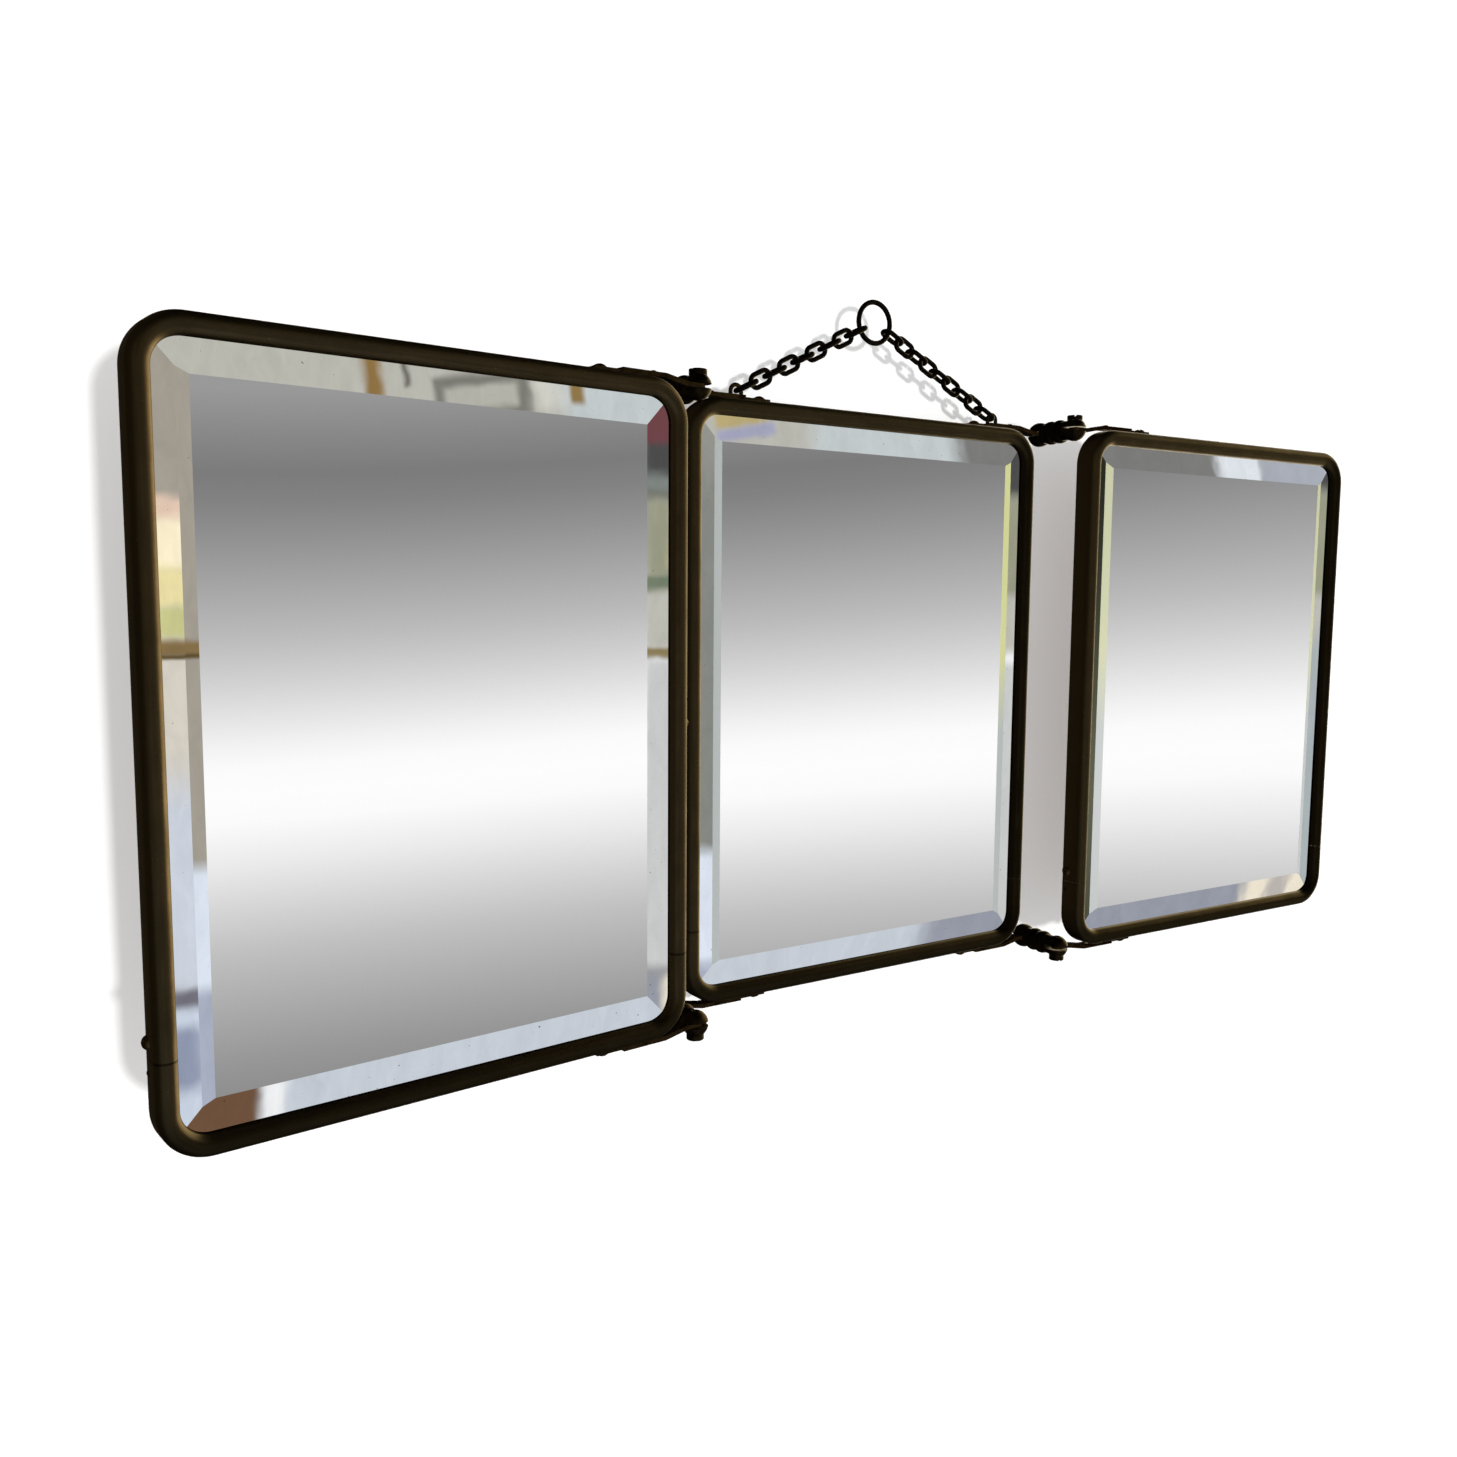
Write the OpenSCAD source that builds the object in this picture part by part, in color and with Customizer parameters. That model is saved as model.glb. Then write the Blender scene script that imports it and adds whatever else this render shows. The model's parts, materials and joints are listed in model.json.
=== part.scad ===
// Folding mirror of three framed panels, hung from a ring and chain.
// X runs to the right along the wall, Y into the wall, Z up, in millimetres.
// The origin is the middle of the centre panel's back face, which lies on the wall.

/* [Panels] */
// Width of one framed panel
panel_w = 250; // [225:1:280]
// Height of one framed panel
panel_h = 320; // [290:1:360]
// Width of the frame's rounded face
face_w = 9; // [8:0.5:11]
// Depth of the frame from wall side to front
frame_t = 15; // [15:0.5:18]
// Radius of the frame's outer corners
corner_r = 21; // [17:0.5:26]
// Thickness of the channel's outer wall
channel_wall = 1.6; // [1.2:0.1:2]
// Thickness of the flange folded behind the board
flange_t = 1.4; // [1:0.1:2]
// Reach of that flange from the outer edge
flange_reach = 7; // [5.5:0.5:8]

/* [Glass and backing] */
// Thickness of the plate glass
glass_t = 5; // [4.5:0.5:6]
// Width of the ground bevel, measured from the glass edge
bevel_w = 19.7; // [16:0.1:24]
// Height lost across the bevel
bevel_drop = 2.4; // [1.8:0.1:3]
// Gap between the glass edge and the channel wall
glass_gap = 1.2; // [1:0.1:1.6]
// Thickness of the silvering
silver_t = 0.3; // [0.2:0.05:0.5]
// Thickness of the board behind the flange
board_t = 3.6; // [3:0.1:4.5]
// Gap round the board's raised field
board_gap = 0.3; // [0.2:0.1:0.8]

/* [Frame joints] */
// Height of the seam above the panel's lower edge
seam_h = 41.5; // [34:0.5:60]
// Width of the seam
seam_gap = 0.3; // [0.2:0.1:0.6]
// Length of the tongue that bridges the seam
tongue_l = 26; // [22:1:32]
// Thickness of the tongue
tongue_t = 0.9; // [0.6:0.1:0.9]
// Width of the tongue
tongue_w = 6; // [4:0.5:6]
// Height of the joint screw above the seam
joint_screw_up = 6.5; // [5.5:0.5:9]
// Depth of the joint rivet below the seam
joint_rivet_down = 5.5; // [4.5:0.5:8]
// Diameter of the joint screw's domed head
joint_head_d = 6; // [5:0.5:7]
// Height of the joint screw's domed head
joint_head_h = 2.2; // [1.5:0.1:2.6]
// Diameter of the joint screw's shank
joint_shank_d = 2.4; // [2:0.1:3]
// Diameter of the joint rivet's head
joint_rivet_d = 2.8; // [2.4:0.1:3.5]
// Height of the joint rivet's head
joint_rivet_h = 0.7; // [0.5:0.1:1]

/* [Straps] */
// Width of the hinge straps
strap_w = 7; // [6:0.5:8]
// Thickness of the straps
strap_t = 2.2; // [1.8:0.1:2.4]
// Thickness of the strap's thin tail
tail_t = 1.1; // [0.9:0.1:1.4]
// Distance from the pivot to the end of the tail
strap_l = 61.5; // [56:0.5:68]
// Length of the thin tail
tail_l = 15.5; // [13:0.5:18]
// Distance from the pivot to the top of the strap's bend
bend_far = 22; // [19:0.5:25]
// Distance from the pivot to the foot of the strap's bend
bend_near = 8.5; // [7.5:0.5:10]
// Distance from the strap's end to its screw
strap_screw_in = 5; // [4.5:0.5:7]
// Diameter of the strap screw's head
strap_head_d = 7; // [6:0.5:8]
// Height of the strap screw's head
strap_head_h = 1.8; // [1.2:0.1:2.2]
// Distance from the pivot to the strap's rivet
strap_rivet_in = 26.5; // [24.5:0.5:29]
// Diameter of the strap rivet's head
strap_rivet_d = 4.4; // [3.6:0.2:5]
// Height of the strap rivet's head
strap_rivet_h = 1.1; // [0.8:0.1:1.4]
// Diameter of the shanks of the strap's fastenings
strap_shank_d = 2.4; // [2:0.1:2.8]

/* [Hinge links] */
// Distance between the two pivots of a link
link_len = 30; // [29:0.5:34]
// Diameter of the ball on the centre panel's strap
inner_ball_d = 14.6; // [13.4:0.2:14.8]
// Diameter of the ball on the wing's strap
outer_ball_d = 13.6; // [12.6:0.2:14.4]
// Diameter of the two turned beads
bead_d = 14; // [13:0.2:14.4]
// Length of one bead
bead_l = 7.6; // [6.8:0.2:7.8]
// Diameter of the link's core
core_d = 11.6; // [10:0.2:12.2]
// Distance from the inner pivot to the first bead's middle
bead_from_pivot = 10.4; // [10:0.1:10.8]
// Distance of each pivot beyond the panel's side edge
pivot_out = 9.4; // [8.4:0.2:10.4]
// Depth of each pivot's middle inside the panel's top or lower edge
pivot_drop = 1.4; // [0.6:0.1:2]
// Diameter of the pivot pins
pin_d = 3.6; // [3:0.1:4]
// Radial running clearance of the straps on the pins
pin_clear = 0.05; // [0.02:0.01:0.09]
// Clearance above and below the strap in its slot
slot_clear = 0.2; // [0.15:0.05:0.3]
// Room for the strap's round end at the bottom of its slot
slot_past = 1.4; // [1.1:0.1:1.5]
// Diameter of the outer pivot screw's head
pivot_head_d = 9; // [8:0.2:9.8]
// Height of that head
pivot_head_h = 2.8; // [2.4:0.1:3.4]

/* [Rest pose] */
// Left link's angle from straight outward, towards the front
left_link_a = 89.7; // [80:0.1:95]
// Left wing's angle towards the front
left_wing_a = 5.5; // [0:0.5:15]
// Right link's angle from straight outward, towards the front
right_link_a = 95; // [80:0.1:96]
// Right wing's angle towards the front
right_wing_a = 2; // [0:0.5:15]

/* [Chain and ring] */
// Diameter of the ring at the middle of its wire
ring_d = 22.2; // [20:0.2:26]
// Diameter of the ring's wire
ring_wire = 2.8; // [2.4:0.1:3]
// Height of the ring's middle above the panel
ring_up = 50; // [44:1:60]
// Angle of the ring's split
ring_split_a = 38; // [20:1:70]
// Number of links in each strand
link_count = 9; // [7:2:11]
// Diameter of the chain's wire
chain_wire = 2.7; // [2.3:0.1:2.8]
// Outside width of a chain link
chain_link_w = 9.6; // [9.4:0.1:10.2]
// Play where two links meet
chain_play = 0.05; // [0.03:0.01:0.1]
// Distance of the chain eyes from the panel's side edge
eye_in = 32.5; // [30:0.5:33]
// Diameter of an eye at the middle of its wire
eye_d = 6.6; // [6.2:0.1:7.2]
// Diameter of the eye's wire
eye_wire = 2.2; // [1.8:0.1:2.3]
// Height of the eye's middle above its strap
eye_up = 2; // [1.8:0.1:3]

/* [Catch] */
// Height of the hook's pivot above the panel's middle
hook_pivot_z = 12.6; // [8:0.2:20]
// Distance from the hook's pivot to its knob
hook_l = 24.6; // [20:0.2:30]
// Width of the hook
hook_w = 6; // [5:0.5:7]
// Thickness of the hook
hook_t = 1.2; // [1:0.1:1.5]
// Diameter of the knob and of the pivot's head
knob_d = 6.4; // [5.6:0.2:6.8]
// Height of the knob and of the pivot's head
knob_h = 3; // [2:0.2:3.2]
// Clearance between the hook and the frame
hook_clear = 0.3; // [0.2:0.1:0.5]
// Diameter of the stud that the hook catches
stud_d = 2.8; // [2.4:0.1:3.2]
// Length of that stud
stud_l = 4.5; // [3.5:0.5:6]
// Height of the stud, from the panel's middle
stud_z = -4.5; // [-12:0.5:0]

/* [Hidden] */
$fn = 64;
hinge_x = panel_w / 2 + pivot_out;
mid_y = -frame_t / 2;
hinge_z = panel_h / 2 - pivot_drop;
ring_r = ring_d / 2;
eye_r = eye_d / 2;
eye_x = panel_w / 2 - eye_in;
eye_z = panel_h / 2 + strap_t + eye_up;
ring_z = panel_h / 2 + ring_up;
strand_a = atan2(ring_z - eye_z, eye_x);
strand_l = norm([eye_x, ring_z - eye_z]) - ring_r - eye_r;
chain_slack = (link_count + 1) * chain_play;
link_inner_l = (strand_l + (ring_wire + eye_wire) / 2 + chain_slack) / link_count;
glass_y = flange_t + board_t + silver_t;
glass_in = channel_wall + glass_gap;
bevel_a = atan2(bevel_drop, bevel_w);
lip_clear = 0.05;
lip_y = glass_y + glass_t - (glass_in + bevel_w - face_w) * tan(bevel_a) + lip_clear;
face_r = face_w / 2;
seam_z = -panel_h / 2 + seam_h;
pin_r = pin_d / 2;
slot_h = strap_t + 2 * slot_clear;
hook_y = -(frame_t - face_r) / 2;
left_hinge = [-hinge_x - link_len * cos(left_link_a), mid_y - link_len * sin(left_link_a), 0];
right_hinge = [hinge_x + link_len * cos(right_link_a), mid_y - link_len * sin(right_link_a), 0];

// The channel's section: x inward from the outer edge, y forward from the back.
module channel_section() {
    difference() {
        union() {
            square([face_w, frame_t - face_r]);
            translate([face_r, frame_t - face_r])
                circle(r = face_r);
        }
        translate([channel_wall, flange_t])
            square([face_w, lip_y - flange_t]);
        translate([flange_reach, -1])
            square([face_w, lip_y + 1]);
    }
}

// A straight piece of channel along +Z, from z0 to z1, on the panel's right side.
module channel_side(z0, z1) {
    translate([panel_w / 2, 0, z0])
        linear_extrude(z1 - z0)
            mirror([1, 0])
                mirror([0, 1])
                    channel_section();
}

// A straight piece of channel along the panel's top.
module channel_top() {
    rotate([0, -90, 0])
        linear_extrude(panel_w - 2 * corner_r, center = true)
            translate([panel_h / 2, 0])
                mirror([1, 0])
                    mirror([0, 1])
                        channel_section();
}

// The bent corner at the panel's top right.
module channel_corner() {
    translate([panel_w / 2 - corner_r, 0, panel_h / 2 - corner_r])
        rotate([90, 0, 0])
            rotate_extrude(angle = 90, $fn = 96)
                translate([corner_r, 0])
                    mirror([1, 0])
                        channel_section();
}

module both_sides() {
    children();
    mirror([1, 0, 0])
        children();
}

module frame_upper() {
    channel_top();
    both_sides() {
        channel_corner();
        channel_side(seam_z + seam_gap / 2, panel_h / 2 - corner_r);
    }
}

module frame_lower() {
    mirror([0, 0, 1]) {
        channel_top();
        both_sides() {
            channel_corner();
            channel_side(-seam_z + seam_gap / 2, panel_h / 2 - corner_r);
        }
    }
}

// A flat plate with rounded corners, inset from the panel's outline, facing the front.
module plate(inset, y0, y1) {
    r = corner_r - inset;
    w = panel_w - 2 * inset;
    h = panel_h - 2 * inset;
    translate([0, -y0, 0])
        rotate([90, 0, 0])
            linear_extrude(y1 - y0)
                union() {
                    square([w - 2 * r, h], center = true);
                    square([w, h - 2 * r], center = true);
                    for (x = [-1, 1], y = [-1, 1])
                        translate([x * (w / 2 - r), y * (h / 2 - r)])
                            circle(r = r, $fn = 96);
                }
}

// One wedge ground off the glass along its right side, half_w from the middle.
module bevel_cut(half_w, length) {
    flat_edge = half_w - glass_in - bevel_w;
    translate([flat_edge, -glass_y - glass_t, -length / 2])
        rotate([0, 0, bevel_a])
            translate([0, -10, 0])
                cube([bevel_w + 20, 10, length]);
}

// Ground away from the glass corners where the frame's lip turns over them.
module corner_relief() {
    for (up = [0, 1])
        mirror([0, 0, up])
            both_sides()
                translate([panel_w / 2 - corner_r, 0, panel_h / 2 - corner_r])
                    rotate([90, 0, 0])
                        rotate_extrude(angle = 90, $fn = 96)
                            translate([corner_r - face_w - lip_clear, lip_y - lip_clear])
                                square([face_w, glass_t]);
}

module panel_glass() {
    difference() {
        plate(glass_in, glass_y, glass_y + glass_t);
        both_sides()
            bevel_cut(panel_w / 2, panel_h);
        rotate([0, 90, 0])
            both_sides()
                bevel_cut(panel_h / 2, panel_w);
        corner_relief();
    }
}

module panel_silvering() {
    plate(glass_in, glass_y - silver_t, glass_y);
}

module panel_board() {
    plate(glass_in, flange_t, flange_t + board_t);
    plate(flange_reach + board_gap, 0, flange_t);
}

// Strips inside the channel walls that carry the joint across each seam.
module tongues() {
    both_sides()
        difference() {
            translate([panel_w / 2 - channel_wall - tongue_t, -flange_t - tongue_w, seam_z - tongue_l / 2])
                cube([tongue_t, tongue_w, tongue_l]);
            joint_bores();
        }
}

module joint_y() {
    translate([0, -flange_t - tongue_w / 2, 0])
        children();
}

module joint_bores() {
    for (z = [seam_z + joint_screw_up, seam_z - joint_rivet_down])
        joint_y()
            translate([panel_w / 2 - glass_in, 0, z])
                rotate([0, 90, 0])
                    cylinder(d = joint_shank_d, h = glass_in + 1, $fn = 32);
}

// A low dome on the plane z = 0, d across and h high.
module dome(d, h) {
    big_r = (d * d / 4 + h * h) / (2 * h);
    intersection() {
        translate([0, 0, h - big_r])
            sphere(r = big_r, $fn = 64);
        cylinder(d = d, h = h + 1);
    }
}

// A domed head with a driver slot.
module slotted_dome(d, h) {
    difference() {
        dome(d, h);
        translate([-0.45, -d, h - 0.8])
            cube([0.9, 2 * d, 2]);
    }
}

module joint_screws() {
    both_sides()
        joint_y() {
            translate([panel_w / 2, 0, seam_z + joint_screw_up])
                rotate([0, 90, 0]) {
                    slotted_dome(joint_head_d, joint_head_h);
                    translate([0, 0, -glass_in + 0.2])
                        cylinder(d = joint_shank_d, h = glass_in, $fn = 32);
                }
            translate([panel_w / 2, 0, seam_z - joint_rivet_down])
                rotate([0, 90, 0]) {
                    dome(joint_rivet_d, joint_rivet_h);
                    translate([0, 0, -glass_in + 0.2])
                        cylinder(d = joint_shank_d, h = glass_in, $fn = 32);
                }
        }
}

// Everything below is cut from the frames so that screws and rivets have their holes.
module frame_holes(strap_sides) {
    both_sides()
        joint_bores();
    for (s = strap_sides, up = [0, 1])
        mirror([0, 0, up])
            strap_places(s)
                cylinder(d = strap_shank_d, h = 2 * channel_wall + 2, center = true, $fn = 32);
}

// The two fastenings of the strap on side s, at the channel's top face.
module strap_places(s) {
    for (d = [strap_l - strap_screw_in, strap_rivet_in])
        translate([s * (hinge_x - d), mid_y, panel_h / 2])
            children();
}

module painted_frame_upper(strap_sides) {
    color([0.17, 0.14, 0.09])
        difference() {
            frame_upper();
            frame_holes(strap_sides);
        }
}

module painted_frame_lower(strap_sides) {
    color([0.17, 0.14, 0.09])
        difference() {
            frame_lower();
            frame_holes(strap_sides);
        }
}

// A strap along +X from its pivot at x = 0, lying on the panel's top edge.
// Its side view is drawn once: tail, flat, bend and eye.
module strap() {
    top = pivot_drop + strap_t;
    eye_top = strap_t / 2;
    difference() {
        union() {
            translate([0, strap_w / 2, 0])
                rotate([90, 0, 0])
                    linear_extrude(strap_w)
                        polygon([
                            [0, -eye_top], [bend_near, -eye_top], [bend_far, pivot_drop],
                            [strap_l, pivot_drop], [strap_l, pivot_drop + tail_t],
                            [strap_l - tail_l, pivot_drop + tail_t], [strap_l - tail_l, top],
                            [bend_far - 1, top], [bend_near - 1, eye_top], [0, eye_top]
                        ]);
            cylinder(d = strap_w, h = strap_t, center = true, $fn = 48);
        }
        cylinder(r = pin_r + pin_clear, h = strap_t + 1, center = true, $fn = 48);
        for (d = [strap_l - strap_screw_in, strap_rivet_in])
            translate([d, 0, pivot_drop - 1])
                cylinder(d = strap_shank_d, h = strap_t + 2, $fn = 32);
    }
}

// Places a strap on side s of a panel, up = 0 for the top edge and 1 for the lower one.
module strap_at(s, up) {
    color([0.2, 0.16, 0.1])
        mirror([0, 0, up])
            translate([s * hinge_x, mid_y, hinge_z])
                mirror([s > 0 ? 1 : 0, 0, 0])
                    strap();
}

module strap_fastenings(s) {
    color([0.3, 0.25, 0.15])
        for (up = [0, 1])
            mirror([0, 0, up]) {
                translate([s * (hinge_x - strap_l + strap_screw_in), mid_y, panel_h / 2]) {
                    translate([0, 0, tail_t])
                        slotted_dome(strap_head_d, strap_head_h);
                    translate([0, 0, -channel_wall - 0.8])
                        cylinder(d = strap_shank_d, h = tail_t + channel_wall + 1, $fn = 32);
                }
                translate([s * (hinge_x - strap_rivet_in), mid_y, panel_h / 2]) {
                    translate([0, 0, strap_t])
                        dome(strap_rivet_d, strap_rivet_h);
                    translate([0, 0, -channel_wall - 0.8])
                        cylinder(d = strap_shank_d, h = strap_t + channel_wall + 1, $fn = 32);
                }
            }
}

// A link lies along +X, from the inner ball at 0 to the outer ball at link_len.
module bead(x) {
    translate([x, 0, 0])
        rotate([0, 90, 0])
            rotate_extrude($fn = 64)
                intersection() {
                    translate([(bead_d - bead_l) / 2, 0])
                        circle(d = bead_l);
                    translate([0, -bead_l])
                        square([bead_d, 2 * bead_l]);
                }
}

module link() {
    difference() {
        union() {
            sphere(d = inner_ball_d, $fn = 64);
            translate([link_len, 0, 0])
                sphere(d = outer_ball_d, $fn = 64);
            rotate([0, 90, 0])
                cylinder(d = core_d, h = link_len, $fn = 64);
            bead(bead_from_pivot);
            bead(bead_from_pivot + bead_l);
        }
        for (x = [0, link_len])
            translate([x, 0, 0])
                cylinder(r = pin_r, h = 2 * inner_ball_d, center = true, $fn = 48);
        translate([-inner_ball_d + strap_w / 2 + slot_past, -inner_ball_d, -slot_h / 2])
            cube([inner_ball_d, 2 * inner_ball_d, slot_h]);
        translate([link_len - strap_w / 2 - slot_past, -outer_ball_d, -slot_h / 2])
            cube([outer_ball_d, 2 * outer_ball_d, slot_h]);
    }
}

// The flush pin of the inner ball.
module inner_pin() {
    intersection() {
        cylinder(r = pin_r, h = 2 * inner_ball_d, center = true, $fn = 48);
        sphere(d = inner_ball_d, $fn = 64);
    }
}

// The outer ball's screw: a cheese head on a shank that runs through both halves.
module outer_screw() {
    seat = sqrt(outer_ball_d * outer_ball_d / 4 - pivot_head_d * pivot_head_d / 16);
    intersection() {
        cylinder(r = pin_r, h = 2 * outer_ball_d, center = true, $fn = 48);
        sphere(d = outer_ball_d, $fn = 64);
    }
    difference() {
        translate([0, 0, seat - 1])
            cylinder(d = pivot_head_d, h = pivot_head_h);
        sphere(d = outer_ball_d, $fn = 64);
        translate([-0.6, -pivot_head_d, seat + pivot_head_h - 2])
            cube([1.2, 2 * pivot_head_d, 3]);
    }
}

// Places a link or its pins on side s; the angle is from straight outward to the front.
module link_place(s, link_a, up) {
    mirror([0, 0, up])
        translate([s * hinge_x, mid_y, hinge_z])
            rotate([0, 0, s > 0 ? -link_a : 180 + link_a])
                children();
}

module bronze() {
    color([0.16, 0.12, 0.08])
        children();
}

module left_place() {
    translate(left_hinge)
        rotate([0, 0, left_wing_a])
            translate([-hinge_x, -mid_y, 0])
                children();
}

module right_place() {
    translate(right_hinge)
        rotate([0, 0, -right_wing_a])
            translate([hinge_x, -mid_y, 0])
                children();
}

// A chain link in the XZ plane along +X: inner length link_inner_l, its middle at x = 0.
module chain_link() {
    bend_r = (chain_link_w - chain_wire) / 2;
    half = (link_inner_l + chain_wire) / 2 - bend_r;
    for (s = [0, 1])
        mirror([s, 0, 0])
            translate([half, 0, 0])
                rotate([90, 0, 0])
                    rotate([0, 0, -90])
                        rotate_extrude(angle = 180, $fn = 48)
                            translate([bend_r, 0])
                                circle(d = chain_wire, $fn = 24);
    for (z = [-bend_r, bend_r])
        translate([-half, 0, z])
            rotate([0, 90, 0])
                cylinder(d = chain_wire, h = 2 * half, $fn = 24);
}

// A strand from the ring to an eye; the first and last links stand edge-on to the wall.
module strand(s) {
    first = -(ring_wire + chain_wire) / 2 - chain_play;
    color([0.12, 0.1, 0.08])
        mirror([s < 0 ? 1 : 0, 0, 0])
            translate([0, mid_y, ring_z])
                rotate([0, strand_a, 0])
                    for (i = [0 : link_count - 1])
                        translate([
                            ring_r + first + (link_inner_l + chain_wire) / 2
                            + i * (link_inner_l - chain_play), 0, 0
                        ])
                            rotate([i % 2 == 0 ? 90 : 0, 0, 0])
                                chain_link();
}

// A wire eye that stands on the strap in the XZ plane.
module chain_eye() {
    translate([eye_x, mid_y, eye_z]) {
        rotate([90, 0, 0])
            rotate_extrude(angle = 180, $fn = 64)
                translate([eye_r, 0])
                    circle(d = eye_wire, $fn = 24);
        for (x = [-eye_r, eye_r])
            translate([x, 0, -eye_up])
                cylinder(d = eye_wire, h = eye_up, $fn = 24);
    }
}

module centre_frame_upper() { painted_frame_upper([-1, 1]); }
module centre_frame_lower() { painted_frame_lower([-1, 1]); }
module centre_tongues() { color([0.55, 0.45, 0.25]) tongues(); }
module centre_joint_screws() { color([0.35, 0.29, 0.17]) joint_screws(); }
module centre_glass() { color([0.8, 0.88, 0.9, 0.35]) panel_glass(); }
module centre_silvering() { color([0.85, 0.86, 0.88]) panel_silvering(); }
module centre_board() { color([0.42, 0.3, 0.18]) panel_board(); }
module centre_strap_top_left() { strap_at(-1, 0); }
module centre_strap_top_right() { strap_at(1, 0); }
module centre_strap_bottom_left() { strap_at(-1, 1); }
module centre_strap_bottom_right() { strap_at(1, 1); }
module centre_strap_screws() {
    strap_fastenings(-1);
    strap_fastenings(1);
}
module chain_eyes() {
    color([0.18, 0.14, 0.09])
        both_sides()
            chain_eye();
}

module left_frame_upper() { left_place() painted_frame_upper([1]); }
module left_frame_lower() { left_place() painted_frame_lower([1]); }
module left_tongues() { color([0.55, 0.45, 0.25]) left_place() tongues(); }
module left_joint_screws() { color([0.35, 0.29, 0.17]) left_place() joint_screws(); }
module left_glass() { color([0.8, 0.88, 0.9, 0.35]) left_place() panel_glass(); }
module left_silvering() { color([0.85, 0.86, 0.88]) left_place() panel_silvering(); }
module left_board() { color([0.42, 0.3, 0.18]) left_place() panel_board(); }
module left_strap_top() { left_place() strap_at(1, 0); }
module left_strap_bottom() { left_place() strap_at(1, 1); }
module left_strap_screws() { left_place() strap_fastenings(1); }

// The stud stands on the left wing's inner side edge.
module catch_stud() {
    color([0.6, 0.48, 0.25])
        left_place()
            translate([panel_w / 2, hook_y, stud_z])
                rotate([0, 90, 0]) {
                    cylinder(d = stud_d, h = stud_l - 1, $fn = 32);
                    translate([0, 0, stud_l - 1])
                        cylinder(d = stud_d + 1.2, h = 1, $fn = 32);
                }
}

module right_frame_upper() { right_place() painted_frame_upper([-1]); }
module right_frame_lower() { right_place() painted_frame_lower([-1]); }
module right_tongues() { color([0.55, 0.45, 0.25]) right_place() tongues(); }
module right_joint_screws() { color([0.35, 0.29, 0.17]) right_place() joint_screws(); }
module right_glass() { color([0.8, 0.88, 0.9, 0.35]) right_place() panel_glass(); }
module right_silvering() { color([0.85, 0.86, 0.88]) right_place() panel_silvering(); }
module right_board() { color([0.42, 0.3, 0.18]) right_place() panel_board(); }
module right_strap_top() { right_place() strap_at(-1, 0); }
module right_strap_bottom() { right_place() strap_at(-1, 1); }
module right_strap_screws() { right_place() strap_fastenings(-1); }

// The hook's pivot: a shank with a shoulder against the frame and a domed head.
module catch_pivot() {
    color([0.3, 0.25, 0.15])
        right_place()
            translate([panel_w / 2, hook_y, hook_pivot_z])
                rotate([0, 90, 0]) {
                    cylinder(d = stud_d, h = 2 * hook_clear + hook_t, $fn = 32);
                    translate([0, 0, 2 * hook_clear + hook_t])
                        dome(knob_d, knob_h);
                }
}

// The hook hangs from its pivot and has a notch for the stud and a domed knob.
module catch_hook() {
    color([0.3, 0.25, 0.15])
        right_place()
            translate([panel_w / 2 + hook_clear, hook_y, hook_pivot_z])
                rotate([0, 90, 0]) {
                    difference() {
                        union() {
                            cylinder(d = hook_w, h = hook_t, $fn = 48);
                            translate([0, -hook_w / 2, 0])
                                cube([hook_l, hook_w, hook_t]);
                            translate([hook_l, 0, 0])
                                cylinder(d = hook_w, h = hook_t, $fn = 48);
                        }
                        translate([0, 0, -1])
                            cylinder(r = stud_d / 2 + pin_clear, h = hook_t + 2, $fn = 32);
                        translate([hook_l - knob_d / 2 - stud_d, 0, -1]) {
                            cylinder(d = stud_d + 0.4, h = hook_t + 2, $fn = 32);
                            translate([-stud_d / 2 - 0.2, 0, 0])
                                cube([stud_d + 0.4, hook_w, hook_t + 2]);
                        }
                    }
                    translate([hook_l, 0, hook_t])
                        dome(knob_d, knob_h);
                }
}

module left_link_top() { bronze() link_place(-1, left_link_a, 0) link(); }
module left_link_bottom() { bronze() link_place(-1, left_link_a, 1) link(); }
module right_link_top() { bronze() link_place(1, right_link_a, 0) link(); }
module right_link_bottom() { bronze() link_place(1, right_link_a, 1) link(); }
module left_inner_pins() {
    bronze()
        for (up = [0, 1])
            link_place(-1, left_link_a, up)
                inner_pin();
}
module right_inner_pins() {
    bronze()
        for (up = [0, 1])
            link_place(1, right_link_a, up)
                inner_pin();
}
module left_outer_screws() {
    bronze()
        for (up = [0, 1])
            link_place(-1, left_link_a, up)
                translate([link_len, 0, 0])
                    outer_screw();
}
module right_outer_screws() {
    bronze()
        for (up = [0, 1])
            link_place(1, right_link_a, up)
                translate([link_len, 0, 0])
                    outer_screw();
}

module chain_left() { strand(-1); }
module chain_right() { strand(1); }

// A ring of bent wire with its split at the upper right.
module hanging_ring() {
    color([0.12, 0.1, 0.08])
        translate([0, mid_y, ring_z])
            rotate([90, 0, 0])
                rotate([0, 0, ring_split_a + 1])
                    rotate_extrude(angle = 358, $fn = 96)
                        translate([ring_r, 0])
                            circle(d = ring_wire, $fn = 32);
}

centre_frame_upper();
centre_frame_lower();
centre_tongues();
centre_joint_screws();
centre_glass();
centre_silvering();
centre_board();
centre_strap_top_left();
centre_strap_top_right();
centre_strap_bottom_left();
centre_strap_bottom_right();
centre_strap_screws();
chain_eyes();
left_frame_upper();
left_frame_lower();
left_tongues();
left_joint_screws();
left_glass();
left_silvering();
left_board();
left_strap_top();
left_strap_bottom();
left_strap_screws();
catch_stud();
right_frame_upper();
right_frame_lower();
right_tongues();
right_joint_screws();
right_glass();
right_silvering();
right_board();
right_strap_top();
right_strap_bottom();
right_strap_screws();
catch_pivot();
catch_hook();
left_link_top();
left_link_bottom();
left_inner_pins();
left_outer_screws();
right_link_top();
right_link_bottom();
right_inner_pins();
right_outer_screws();
chain_left();
chain_right();
hanging_ring();
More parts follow.
